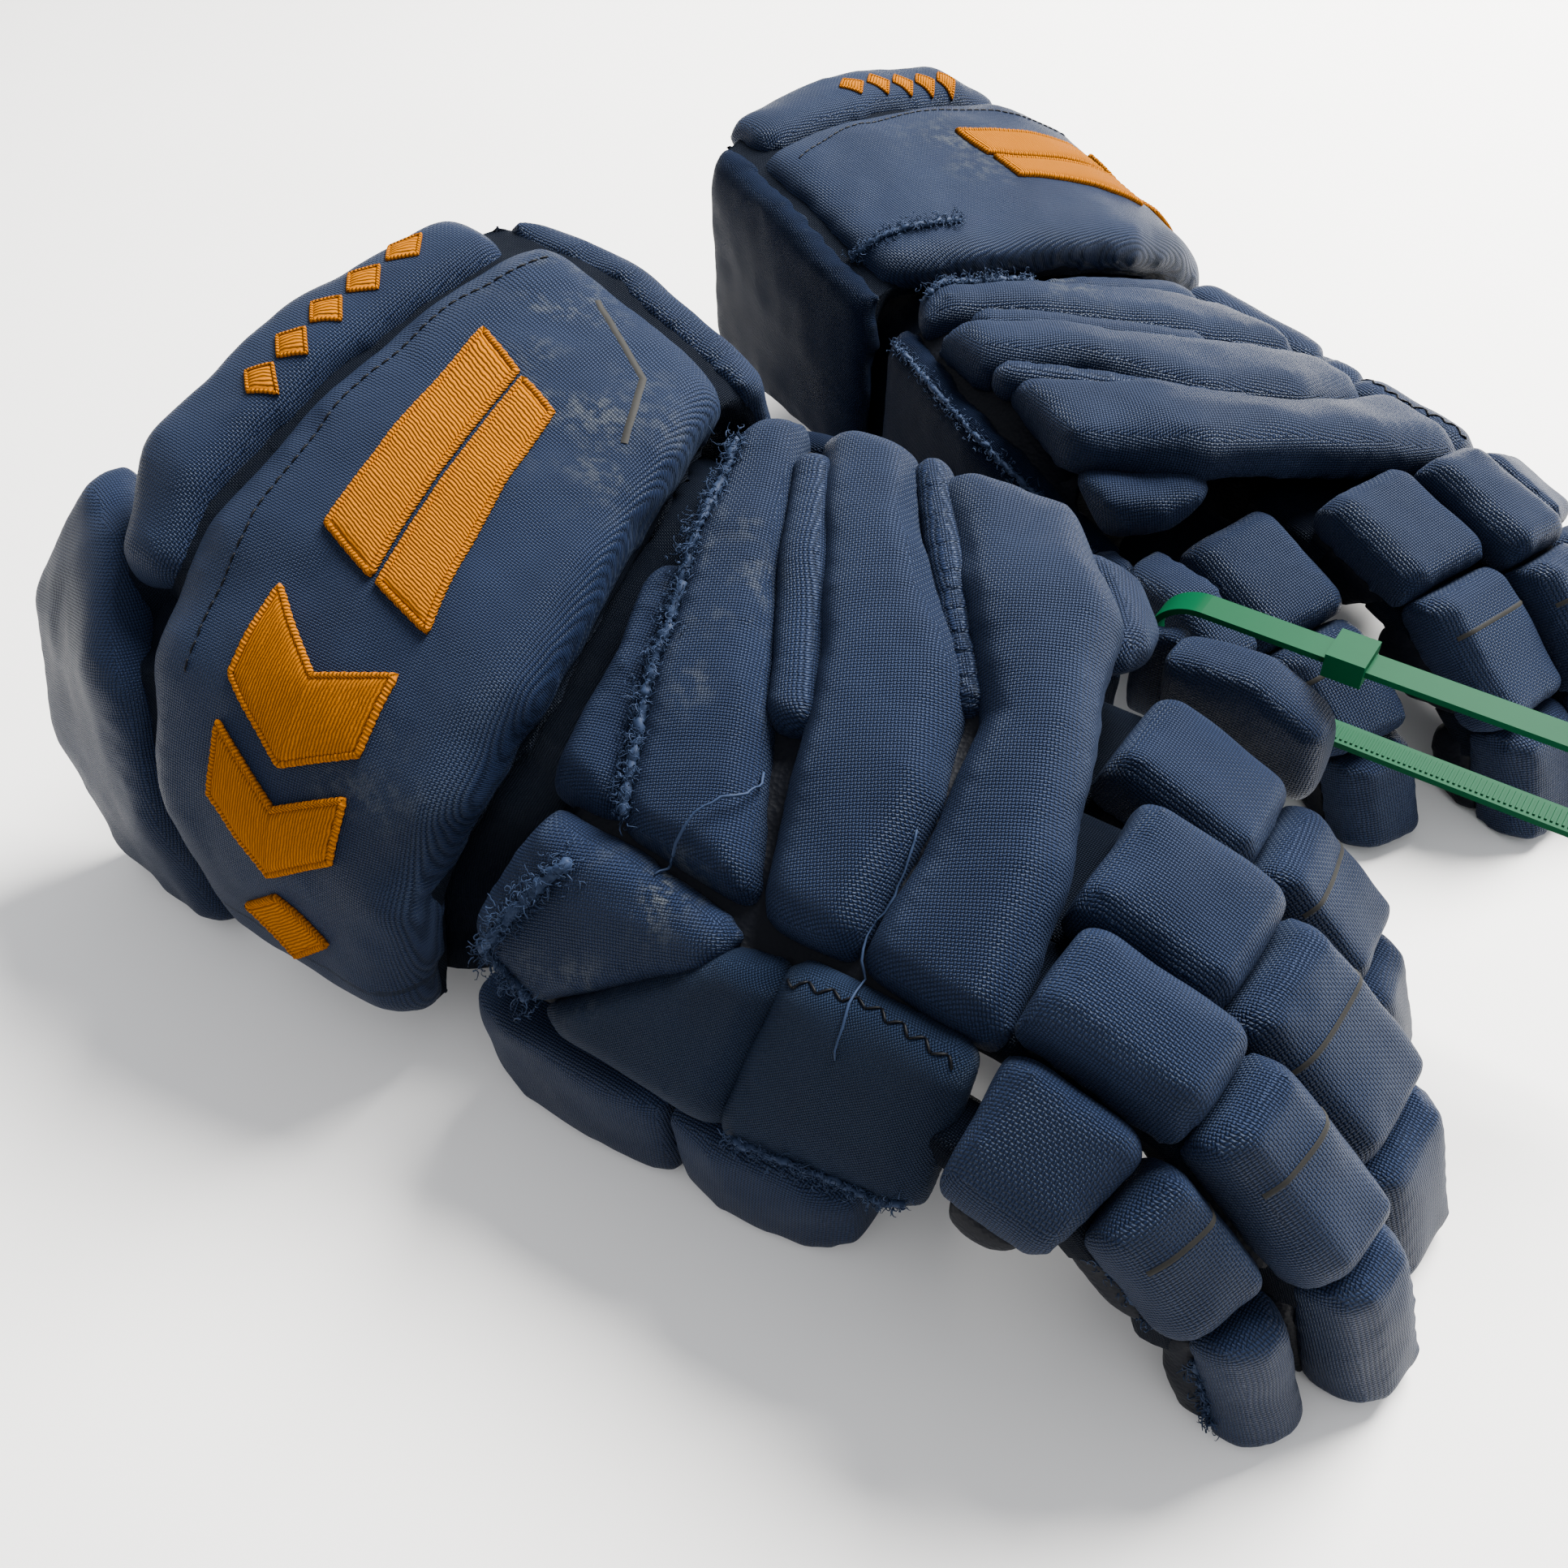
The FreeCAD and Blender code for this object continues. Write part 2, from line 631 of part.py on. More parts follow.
def right_matrix():
    """Mirror and squash a left-hand shape, then set it beside the left one."""
    matrix = FreeCAD.Matrix()
    matrix.scale(V(RIGHT_SQUASH[0], -RIGHT_SQUASH[1], RIGHT_SQUASH[2]))
    matrix.rotateZ(math.radians(RIGHT_YAW))
    matrix.move(vec(RIGHT_SHIFT))
    return matrix


def right_solid(solid):
    """The right glove's copy of a left-hand solid, face by face."""
    matrix = right_matrix()
    faces = []
    for face in solid.Faces:
        corners = [matrix.multVec(v.Point) for v in face.OuterWire.OrderedVertexes]
        faces.append(Part.Face(Part.makePolygon(corners + [corners[0]])))
    copy = Part.Solid(Part.makeShell(faces))
    if copy.Volume < 0:
        copy.reverse()
    return copy


# ----------------------------------------------------------------------------
# Cable tie
# ----------------------------------------------------------------------------

def tie_strap():
    """Closed round-ended loop of flat strap."""
    radius = 0.5 * (TIE_Z[1] - TIE_Z[0])
    x0 = TIE_ENDS[0] + radius
    x1 = TIE_ENDS[1] - radius
    middle = 0.5 * (TIE_Z[0] + TIE_Z[1])
    outer = loop_face(x0, x1, middle, radius)
    inner = loop_face(x0, x1, middle, radius - TIE_THICKNESS)
    ring = outer.cut(inner)
    y0 = 0.5 * (TIE_Y[0] + TIE_Y[1]) - 0.5 * TIE_WIDTH
    ring.translate(V(0, y0, 0))
    return ring.extrude(V(0, TIE_WIDTH, 0))


def loop_face(x0, x1, z, radius):
    """Round-ended slot outline in the XZ plane, filled."""
    top = Part.LineSegment(V(x0, 0, z + radius), V(x1, 0, z + radius)).toShape()
    right = Part.Arc(V(x1, 0, z + radius), V(x1 + radius, 0, z), V(x1, 0, z - radius)).toShape()
    base = Part.LineSegment(V(x1, 0, z - radius), V(x0, 0, z - radius)).toShape()
    left = Part.Arc(V(x0, 0, z - radius), V(x0 - radius, 0, z), V(x0, 0, z + radius)).toShape()
    return Part.Face(Part.Wire([top, right, base, left]))


def tie_head(strap):
    """Locking head round the upper run, cut clear of the strap."""
    y = 0.5 * (TIE_Y[0] + TIE_Y[1])
    length, width, height = TIE_HEAD
    z = TIE_Z[1] - 0.5 * TIE_THICKNESS
    corner = V(TIE_HEAD_X - 0.5 * length, y - 0.5 * width, z - 0.5 * height)
    block = Part.makeBox(length, width, height, corner)
    return block.cut(strap)


# ----------------------------------------------------------------------------
# Assembly, centred on the table under the pair
# ----------------------------------------------------------------------------

def assembly():
    """Every node's solids in the shared frame, and both gloves' hinges."""
    nodes = {}
    hinges = {}
    for side in ("left", "right"):
        solids, points = glove()
        for name, group in solids.items():
            if side == "right":
                group = [right_solid(s) for s in group]
            nodes[side + "_" + name] = group
        for name, point in points.items():
            if side == "right":
                point = right_matrix().multVec(point)
            hinges[side + "_" + name] = point
    strap = tie_strap()
    nodes["cable_tie_strap"] = [strap]
    nodes["cable_tie_head"] = [tie_head(strap)]
    box = Part.makeCompound([s for group in nodes.values() for s in group]).BoundBox
    shift = V(-box.Center.x, -box.Center.y, -box.ZMin)
    for group in nodes.values():
        for solid in group:
            solid.translate(shift)
    hinges = {name: point + shift for name, point in hinges.items()}
    return nodes, hinges, shift


def main():
    nodes, hinges, shift = assembly()
    for name, group in nodes.items():
        shape = group[0] if len(group) == 1 else Part.makeCompound(group)
        shape.exportStep("parts/" + name + ".step")


if __name__ == "__main__":
    main()
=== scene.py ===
import json
import math
import random

import bmesh
import bpy
import numpy as np
from mathutils import Matrix, Vector
from mathutils.bvhtree import BVHTree

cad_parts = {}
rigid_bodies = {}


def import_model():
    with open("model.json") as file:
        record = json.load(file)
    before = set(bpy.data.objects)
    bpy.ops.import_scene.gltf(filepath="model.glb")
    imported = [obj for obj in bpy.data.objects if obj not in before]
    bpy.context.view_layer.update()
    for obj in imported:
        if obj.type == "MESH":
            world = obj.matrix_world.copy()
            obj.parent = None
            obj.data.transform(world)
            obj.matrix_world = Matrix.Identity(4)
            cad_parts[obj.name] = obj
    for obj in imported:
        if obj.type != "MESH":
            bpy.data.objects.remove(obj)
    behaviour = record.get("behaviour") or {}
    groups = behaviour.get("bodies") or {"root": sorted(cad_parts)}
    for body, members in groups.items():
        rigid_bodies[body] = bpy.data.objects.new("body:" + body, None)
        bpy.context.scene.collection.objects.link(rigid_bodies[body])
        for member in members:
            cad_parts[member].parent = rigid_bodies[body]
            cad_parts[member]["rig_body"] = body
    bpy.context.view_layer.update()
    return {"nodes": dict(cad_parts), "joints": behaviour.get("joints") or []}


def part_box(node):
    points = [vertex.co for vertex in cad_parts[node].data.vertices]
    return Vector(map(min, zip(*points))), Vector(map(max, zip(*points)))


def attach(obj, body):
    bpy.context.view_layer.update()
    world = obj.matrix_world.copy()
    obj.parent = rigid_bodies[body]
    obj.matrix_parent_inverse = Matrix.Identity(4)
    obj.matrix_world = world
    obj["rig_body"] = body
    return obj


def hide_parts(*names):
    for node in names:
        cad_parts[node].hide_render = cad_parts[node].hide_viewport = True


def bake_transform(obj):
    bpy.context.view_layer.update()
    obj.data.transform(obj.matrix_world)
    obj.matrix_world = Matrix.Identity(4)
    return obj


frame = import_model()
random.seed(7)

MM = 0.001
SIDES = ("left", "right")
FINGERS = ("index", "middle", "ring", "little")
PARTS = ("base", "middle", "tip")

# The left glove is laid out in its own millimetres: X from wrist to fingers, Y
# from thumb to little finger.  The right one is its mirror image, squashed and
# turned in plan, as in the CAD model.
GLOVE_ORIGIN = Vector((-33.228, -125.322, 0.0))
RIGHT_SQUASH = (1.0, -0.88, 0.77)
RIGHT_YAW = math.radians(-22.0)
RIGHT_SHIFT = Vector((3.0, 217.0, 0.0))

# Camera, in degrees and metres round the point it looks at.
CAMERA_AZIMUTH = 40.51
CAMERA_ELEVATION = 47.9
CAMERA_ROLL = -6.57
CAMERA_DISTANCE = 0.382
CAMERA_TARGET = Vector((-0.00914, -0.10333, 0.02972))
CAMERA_LENS = 33.46

WEAVE_PITCH = 0.72       # mm between threads of the coarse nylon
FINE_PITCH = 0.52        # mm between threads of the repair patch and lining

ARCH_Y, ARCH_Z = -5.0, 30.0      # middle of the cuff's arch in the layout
ARCH_RADIUS = 95.0               # mm, mean radius of the arch
ARCH_MM = ARCH_RADIUS * math.pi / 180.0      # mm per degree round the arch
OUTSIDE_ARCH = 220.0             # mm from the middle, beyond any cuff pad

CLOTH_FRAMES = 20
CLOTH_PRESSURE = 4.0
BULGE_LIMIT = 2.6        # mm the simulation may move a cover

TABLE_Z = -0.0004        # just under the part, in metres
WORLD_STRENGTH = 1.0
KEY_POWER = 165.0
FILL_POWER = 1.5


# ---- Places ----

def place(side, x, y, z):
    """A point of the glove's own layout, in metres in the row frame."""
    point = Vector((x, y, z))
    if side == "right":
        point = Vector((x * RIGHT_SQUASH[0], y * RIGHT_SQUASH[1], z * RIGHT_SQUASH[2]))
        point = Matrix.Rotation(RIGHT_YAW, 3, "Z") @ point + RIGHT_SHIFT
    return (point + GLOVE_ORIGIN) * MM


def side_scale(side):
    """How much smaller the right glove's details are drawn."""
    return 1.0 if side == "left" else 0.85


def joint_vector(name, field):
    """A named joint's pos_m, where its pin lies, or its axis."""
    return Vector(next(j for j in frame["joints"] if j["name"] == name)[field])


def joint_point(name):
    return joint_vector(name, "pos_m")


# ---- Mesh helpers ----

def link(name, data):
    """New object in the scene."""
    obj = bpy.data.objects.new(name, data)
    bpy.context.scene.collection.objects.link(obj)
    return obj


def mesh_of(points, faces):
    """Mesh from points in metres and faces."""
    mesh = bpy.data.meshes.new("work")
    mesh.from_pydata([tuple(p) for p in points], [], faces)
    mesh.update()
    return mesh


def merged(meshes):
    """Points and faces of several meshes together, and where each one's points start."""
    points, faces, starts = [], [], [0]
    for mesh in meshes:
        base = starts[-1]
        points += [v.co.copy() for v in mesh.vertices]
        faces += [tuple(base + i for i in p.vertices) for p in mesh.polygons]
        starts.append(len(points))
    return points, faces, starts


def read(source, field, width=1, kind=float):
    """One field of every vertex, edge, face or corner, as an array."""
    values = np.empty(len(source) * width, kind)
    source.foreach_get(field, values)
    return values.reshape(-1, width) if width > 1 else values


def coordinates(mesh):
    return read(mesh.vertices, "co", 3)


def set_coordinates(mesh, co):
    mesh.vertices.foreach_set("co", co.astype(np.float32).ravel())
    mesh.update()


def normals(mesh):
    return read(mesh.vertex_normals, "vector", 3)


def neighbours(mesh):
    """Both ends of every edge, once from either side."""
    first, second = read(mesh.edges, "vertices", 2, int).T
    return np.concatenate([first, second]), np.concatenate([second, first])


def relax(mesh, rounds):
    """Rounds off corners by pulling each vertex halfway to its neighbours' mean."""
    co = coordinates(mesh)
    count = len(co)
    ends, others = neighbours(mesh)
    degree = np.maximum(np.bincount(ends, minlength=count), 1)[:, None]
    for _ in range(rounds):
        near = np.stack([np.bincount(ends, co[others, k], count) for k in range(3)], 1)
        co += (near / degree - co) * 0.5
    set_coordinates(mesh, co)


def grid(rows, columns, base=0, ring=False, flip=False):
    """Faces between points laid row by row; a ring's columns close up."""
    faces = []
    for r in range(rows - 1):
        low = base + r * columns
        high = low + columns
        for i in range(columns if ring else columns - 1):
            j = (i + 1) % columns
            face = (low + i, low + j, high + j, high + i)
            faces.append(face[:1] + face[:0:-1] if flip else face)
    return faces


def swell(mesh, distance, axes=None, shares=(1.0, 1.0, 1.0)):
    """Moves each vertex out along its normal, less along some of its axes."""
    move = normals(mesh) * distance
    if axes is not None:
        move = (move @ axes.T * np.array(shares)) @ axes
    set_coordinates(mesh, coordinates(mesh) + move)


def with_modifier(mesh, kind, **settings):
    """The mesh that one modifier makes of this one."""
    obj = link("work", mesh)
    modifier = obj.modifiers.new("work", kind)
    for key, value in settings.items():
        setattr(modifier, key, value)
    graph = bpy.context.evaluated_depsgraph_get()
    made = bpy.data.meshes.new_from_object(obj.evaluated_get(graph))
    bpy.data.objects.remove(obj)
    bpy.data.meshes.remove(mesh)
    return made


def remesh(mesh, voxel):
    return with_modifier(mesh, "REMESH", mode="VOXEL", voxel_size=voxel * MM)


def subdivide(mesh, levels=1):
    return with_modifier(mesh, "SUBSURF", levels=levels, render_levels=levels)


def signed_volume(points, faces):
    total = 0.0
    for face in faces:
        a = points[face[0]]
        for i in range(1, len(face) - 1):
            total += a.dot(points[face[i]].cross(points[face[i + 1]])) / 6.0
    return total


def node_solids(node):
    """The separate solids of a CAD node as (points, faces), largest first."""
    bm = bmesh.new()
    bm.from_mesh(frame["nodes"][node].data)
    bmesh.ops.remove_doubles(bm, verts=bm.verts, dist=1e-6)
    bm.verts.ensure_lookup_table()
    seen = set()
    solids = []
    for start in bm.verts:
        if start.index in seen:
            continue
        island = [start]
        seen.add(start.index)
        for vert in island:
            for edge in vert.link_edges:
                other = edge.other_vert(vert)
                if other.index not in seen:
                    seen.add(other.index)
                    island.append(other)
        order = {vert.index: i for i, vert in enumerate(island)}
        faces = {face for vert in island for face in vert.link_faces}
        rings = sorted([order[v.index] for v in face.verts] for face in faces)
        points = [vert.co.copy() for vert in island]
        solids.append((signed_volume(points, rings), points, rings))
    bm.free()
    solids.sort(key=lambda s: -s[0])
    return [solid[1:] for solid in solids]


def hull_mesh(points):
    """Convex block round some points."""
    bm = bmesh.new()
    for point in points:
        bm.verts.new(point)
    bmesh.ops.convex_hull(bm, input=bm.verts)
    loose = [v for v in bm.verts if not v.link_faces]
    bmesh.ops.delete(bm, geom=loose, context="VERTS")
    mesh = bpy.data.meshes.new("work")
    bm.to_mesh(mesh)
    bm.free()
    return mesh


def ripple(points, scale, seed):
    """Smooth pseudo-random heights from -1 to 1 at points, scale in metres."""
    rng = np.random.default_rng(seed)
    total = np.zeros(len(points))
    for _ in range(14):
        wave = rng.normal(size=3)
        wave *= 2.0 * math.pi / (scale * np.linalg.norm(wave)) * rng.uniform(0.6, 1.5)
        total += np.sin(points @ wave + rng.uniform(0, 2 * math.pi))
    return total / 5.0


def smooth_piece(name, mesh, material):
    """Smooth object of one material."""
    mesh.polygons.foreach_set("use_smooth", [True] * len(mesh.polygons))
    mesh.materials.append(material)
    return link(name, mesh)


def main_axes(points):
    """Three directions of a pad: along its length, across it and up."""
    arr = np.array([list(p) for p in points])
    vectors = np.linalg.eigh(np.cov((arr - arr.mean(0)).T))[1]
    return np.stack([vectors[:, 2], vectors[:, 1], vectors[:, 0]])


def corners_of(mesh):
    """Vertex number of every face corner."""
    return read(mesh.loops, "vertex_index", kind=int)


def lay_map(mesh, uv):
    """UV layer from one pair of numbers per face corner."""
    layer = mesh.uv_layers.new(name="weave")
    layer.data.foreach_set("uv", uv.astype(np.float32).ravel())


def weave_map(mesh, axes, top_share=1.25):
    """UV layer in millimetres, laid on the faces from the pad's own directions."""
    facing = np.abs(read(mesh.polygons, "normal", 3) @ axes.T)
    facing[:, 2] *= top_share
    side = np.repeat(facing.argmax(1), read(mesh.polygons, "loop_total", kind=int))
    index = corners_of(mesh)
    local = (coordinates(mesh) @ axes.T)[index] / MM
    pick_u = np.array([1, 0, 0])[side]
    pick_v = np.array([2, 2, 1])[side]
    rows = np.arange(len(index))
    lay_map(mesh, np.stack([local[rows, pick_u], local[rows, pick_v]], 1))


def arch_map(mesh, side):
    """UV layer for the cuff: across it, and round its arch."""
    across = np.array(place(side, 0, 0, 0) - place(side, -1, 0, 0)) / MM
    local = coordinates(mesh) - np.array(place(side, -50.0, ARCH_Y, ARCH_Z))
    sideways = np.cross([0, 0, 1.0], across)
    angle = np.arctan2(local[:, 2], local @ sideways)
    lay_map(mesh, np.stack([local @ across / MM, angle * ARCH_RADIUS], 1)[corners_of(mesh)])


def set_values(mesh, name, values):
    """A number on every vertex, for the material to read."""
    attribute = mesh.attributes.new(name, "FLOAT", "POINT")
    attribute.data.foreach_set("value", np.asarray(values, np.float32))


def unworn(mesh):
    set_values(mesh, "wear", np.zeros(len(mesh.vertices)))


# ---- Materials ----

class Nodes:
    """Short way to build a node tree."""

    def __init__(self, name):
        self.material = bpy.data.materials.new(name)
        self.material.use_nodes = True
        self.tree = self.material.node_tree
        self.shader = self.tree.nodes["Principled BSDF"]

    def add(self, kind, **settings):
        node = self.tree.nodes.new(kind)
        for key, value in settings.items():
            setattr(node, key, value)
        return node

    def join(self, source, target):
        self.tree.links.new(source, target)

    def feed(self, sockets, values):
        """Sets each socket to its number or colour, or links it."""
        for socket, value in zip(sockets, values):
            if isinstance(value, (int, float)):
                socket.default_value = value
            elif isinstance(value, tuple):
                socket.default_value = (*value, 1.0)
            else:
                self.join(value, socket)

    def surface(self, values):
        """Feeds the named inputs of the surface shader."""
        self.feed([self.shader.inputs[name] for name in values], values.values())

    def place_in(self):
        """Position within the piece, in metres."""
        return self.add("ShaderNodeTexCoord").outputs["Object"]

    def thread_map(self):
        """The UV layer with thread coordinates, in millimetres."""
        return self.add("ShaderNodeUVMap", uv_map="weave").outputs[0]

    def split(self, vector):
        node = self.add("ShaderNodeSeparateXYZ")
        self.join(vector, node.inputs[0])
        return node.outputs

    def math(self, operation, *values, clamp=False):
        node = self.add("ShaderNodeMath", operation=operation, use_clamp=clamp)
        self.feed(node.inputs, values)
        return node.outputs[0]

    def noise(self, vector, scale, detail=2.0, rough=0.5):
        node = self.add("ShaderNodeTexNoise")
        sockets = [node.inputs[name] for name in ("Vector", "Scale", "Detail", "Roughness")]
        self.feed(sockets, (vector, scale, detail, rough))
        return node.outputs[0]

    def ramp(self, value, stops):
        node = self.add("ShaderNodeValToRGB")
        for element, (at, colour) in zip(node.color_ramp.elements, stops):
            element.position = at
            element.color = (*colour, 1.0)
        self.join(value, node.inputs[0])
        return node.outputs[0]

    def mix(self, share, a, b, blend="MIX"):
        node = self.add("ShaderNodeMix", data_type="RGBA", blend_type=blend)
        self.feed((node.inputs[0], node.inputs[6], node.inputs[7]), (share, a, b))
        return node.outputs[2]

    def bump(self, height, distance, strength, normal=None):
        node = self.add("ShaderNodeBump")
        sockets = [node.inputs[name] for name in ("Height", "Distance", "Strength")]
        self.feed(sockets, (height, distance, strength))
        if normal is not None:
            self.join(normal, node.inputs["Normal"])
        return node.outputs[0]

    def weave(self, pitch):
        """Over-and-under height of a plain weave, from 0 to 1."""
        uv = self.thread_map()
        wobble = self.noise(uv, 0.05)
        parts = self.split(uv)
        waves = []
        for axis in (0, 1):
            shifted = self.math("MULTIPLY_ADD", wobble, 0.8, parts[axis])
            waves.append(self.math("SINE", self.math("MULTIPLY", shifted, math.pi / pitch)))
        over = self.math("MULTIPLY", waves[0], waves[1])
        over = self.math("MULTIPLY_ADD", over, 0.9, 0.5, clamp=True)
        under = self.math("SUBTRACT", 1.0, over)
        warp = self.math("MULTIPLY", self.math("ABSOLUTE", waves[0]), over)
        weft = self.math("MULTIPLY", self.math("ABSOLUTE", waves[1]), under)
        return self.math("MAXIMUM", warp, weft)


def shade(colour, factor):
    return tuple(factor * c for c in colour)


def nylon(name, colour, pitch, sheen, shine):
    """Woven nylon: threads, soft sheen, creases, wear on its edges."""
    n = Nodes(name)
    place_in = n.place_in()
    height = n.weave(pitch)
    blotch = n.noise(place_in, 28.0, 3.0)
    dust = n.noise(place_in, 260.0, 5.0, 0.7)
    thread = n.mix(height, shade(colour, 0.25), shade(colour, 1.7))
    tone = n.ramp(blotch, [(0.30, (0.78, 0.78, 0.80)), (0.70, (1.12, 1.12, 1.10))])
    tinted = n.mix(1.0, thread, tone, "MULTIPLY")
    wear = n.add("ShaderNodeAttribute", attribute_name="wear").outputs["Fac"]
    patchy = n.ramp(dust, [(0.47, (0.0, 0.0, 0.0)), (0.60, (1.0, 1.0, 1.0))])
    worn = n.math("MULTIPLY", wear, patchy, clamp=True)
    caught = n.math("MULTIPLY_ADD", height, 1.2, 0.25, clamp=True)
    worn = n.math("MULTIPLY", worn, caught, clamp=True)
    crease = n.bump(n.noise(place_in, 75.0, 3.0), 0.0016, 0.55)
    n.surface({
        "Base Color": n.mix(worn, tinted, WORN_THREAD),
        "Roughness": n.math("MULTIPLY_ADD", blotch, 0.18, 0.40),
        "Specular IOR Level": shine,
        "Specular Tint": (0.62, 0.78, 1.0),
        "Sheen Weight": sheen,
        "Sheen Roughness": 0.45,
        "Sheen Tint": (0.45, 0.58, 0.85),
        "Normal": n.bump(height, 0.00045, 0.85, crease),
    })
    return n.material


def leather(name, colour):
    """Soft creased leather with a fine pebble."""
    n = Nodes(name)
    place_in = n.place_in()
    cells = n.add("ShaderNodeTexVoronoi", feature="F1")
    n.feed((cells.inputs["Vector"], cells.inputs["Scale"]), (place_in, 900.0))
    crease = n.bump(n.noise(place_in, 60.0, 4.0), 0.002, 0.7)
    dull = n.noise(place_in, 18.0, 3.0)
    n.surface({
        "Base Color": n.mix(n.math("MULTIPLY", dull, 0.6), colour, shade(colour, 2.6)),
        "Roughness": n.math("MULTIPLY_ADD", dull, 0.3, 0.42),
        "Specular IOR Level": 0.09,
        "Normal": n.bump(cells.outputs["Distance"], 0.0003, 0.5, crease),
    })
    return n.material


def satin_thread(name, colour):
    """Embroidery thread laid side by side, running across the shape."""
    n = Nodes(name)
    uv = n.thread_map()
    drift = n.noise(uv, 0.35, 3.0)
    along = n.math("MULTIPLY_ADD", drift, 0.9, n.split(uv)[0])
    lines = n.math("ABSOLUTE", n.math("SINE", n.math("MULTIPLY", along, math.pi / 0.95)))
    tuft = n.math("MULTIPLY", n.noise(uv, 1.4, 3.0), 0.35)
    base = n.mix(n.math("POWER", lines, 0.6), shade(colour, 0.42), colour)
    n.surface({
        "Base Color": n.mix(tuft, base, PALE_GOLD),
        "Roughness": 0.65,
        "Specular IOR Level": 0.015,
        "Specular Tint": (1.0, 0.6, 0.1),
        "Normal": n.bump(lines, 0.0005, 1.0),
    })
    return n.material


def plain(name, colour, roughness, specular, grain=400.0, depth=0.0002):
    """Simple surface with a fine grain, for threads and plastic."""
    n = Nodes(name)
    speckle = n.noise(n.place_in(), grain, 3.0)
    n.surface({
        "Base Color": n.mix(speckle, shade(colour, 0.8), colour),
        "Roughness": roughness,
        "Specular IOR Level": specular,
        "Normal": n.bump(speckle, depth, 0.4),
    })
    return n.material


# Colours are linear light.  They are darker than the photo's, because the
# display's view lightens and greys them.
WORN_THREAD = (0.050, 0.056, 0.064)
PALE_GOLD = (0.360, 0.120, 0.0001)
NAVY = (0.0050, 0.0090, 0.0240)
SHELL = nylon("navy_nylon", NAVY, WEAVE_PITCH, 0.03, 0.11)
SMOOTH = nylon("navy_side_nylon", (0.0030, 0.0056, 0.0150), FINE_PITCH, 0.01, 0.03)
PATCH = nylon("repair_patch_nylon", (0.0042, 0.0080, 0.0190), FINE_PITCH, 0.02, 0.08)
GUSSET = nylon("dark_gusset_knit", (0.0012, 0.0020, 0.0048), FINE_PITCH, 0.01, 0.04)
LINING = nylon("dark_lining_knit", (0.0016, 0.0024, 0.0052), FINE_PITCH, 0.01, 0.05)
PALM = leather("palm_leather", (0.0015, 0.0020, 0.0038))
GOLD = satin_thread("gold_satin_thread", (0.300, 0.090, 0.0001))
GOLD_EDGE = satin_thread("gold_border_cord", (0.280, 0.082, 0.0001))
FRAY = plain("frayed_navy_fibre", (0.0170, 0.0290, 0.0620), 0.6, 0.1)
STITCH = plain("black_stitch_thread", (0.0015, 0.0018, 0.0030), 0.5, 0.1)
STRIPE = plain("grey_stripe_print", (0.0210, 0.0205, 0.0190), 0.6, 0.05)
GREEN = plain("green_tie_nylon", (0.0008, 0.0500, 0.0190), 0.40, 0.02, 60.0, 0.0001)


# ---- Pads ----

class Pad:
    """One stuffed pad while it is being made."""

    def __init__(self, name, mesh, axes, body, nodes, **look):
        self.name = name
        self.mesh = mesh
        self.axes = axes
        self.body = body
        self.nodes = nodes
        self.look = look


def body_of(node):
    return frame["nodes"][node]["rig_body"]


def rounded(mesh, voxel, rounds):
    """Even mesh with softened corners; voxel is in mm."""
    mesh = remesh(mesh, voxel)
    relax(mesh, rounds)
    return mesh


def inflate(pads):
    """Swells the covers of many pads together by cloth simulation."""
    points, faces, starts = merged([pad.mesh for pad in pads])
    obj = link("cloth_work", mesh_of(points, faces))
    cloth = obj.modifiers.new("cloth", "CLOTH")
    cloth.settings.quality = 4
    cloth.settings.mass = 0.2
    cloth.settings.tension_stiffness = 25
    cloth.settings.compression_stiffness = 25
    cloth.settings.bending_stiffness = 0.4
    cloth.settings.use_pressure = True
    cloth.settings.uniform_pressure_force = CLOTH_PRESSURE
    cloth.settings.effector_weights.gravity = 0.0
    cloth.point_cache.frame_start = 1
    cloth.point_cache.frame_end = CLOTH_FRAMES
    scene = bpy.context.scene
    for number in range(1, CLOTH_FRAMES + 1):
        scene.frame_set(number)
    graph = bpy.context.evaluated_depsgraph_get()
    swollen = coordinates(obj.evaluated_get(graph).data)
    bpy.data.objects.remove(obj)
    scene.frame_set(1)
    for pad, low, high in zip(pads, starts[:-1], starts[1:]):
        rest = coordinates(pad.mesh)
        move = swollen[low:high] - rest
        move -= move.mean(0)
        length = np.linalg.norm(move, axis=1, keepdims=True)
        limit = BULGE_LIMIT * MM
        move *= np.tanh(length / limit) * limit / np.maximum(length, 1e-9)
        if "shares" in pad.look:
            move = (move @ pad.axes.T * np.array(pad.look["shares"])) @ pad.axes
        set_coordinates(pad.mesh, rest + move)


def finish_pad(pad):
    """Subdivides, wrinkles, maps and paints one pad, and sets it on its body."""
    mesh = subdivide(pad.mesh)
    co = coordinates(mesh)
    up = normals(mesh)
    seed = sum(ord(c) for c in pad.name)
    puckers = ripple(co, 0.016, seed) * 0.22 + ripple(co, 0.034, seed + 1) * 0.40
    gathers = np.clip((ridges(mesh) - 0.04) * 8.0, 0.0, 1.0)
    puckers += ripple(co, 0.0065, seed + 2) * 0.30 * gathers
    co = co + up * (puckers * MM)[:, None]
    co[:, 2] = np.maximum(co[:, 2], 0.0)
    set_coordinates(mesh, co)
    if "arch" in pad.look:
        arch_map(mesh, pad.look["arch"])
    else:
        weave_map(mesh, pad.axes, pad.look.get("top_share", 1.25))
    set_values(mesh, "wear", wear_values(mesh))
    obj = smooth_piece(pad.name, mesh, pad.look.get("material", SHELL))
    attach(obj, pad.body)
    if pad.nodes:
        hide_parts(*pad.nodes)
    return obj


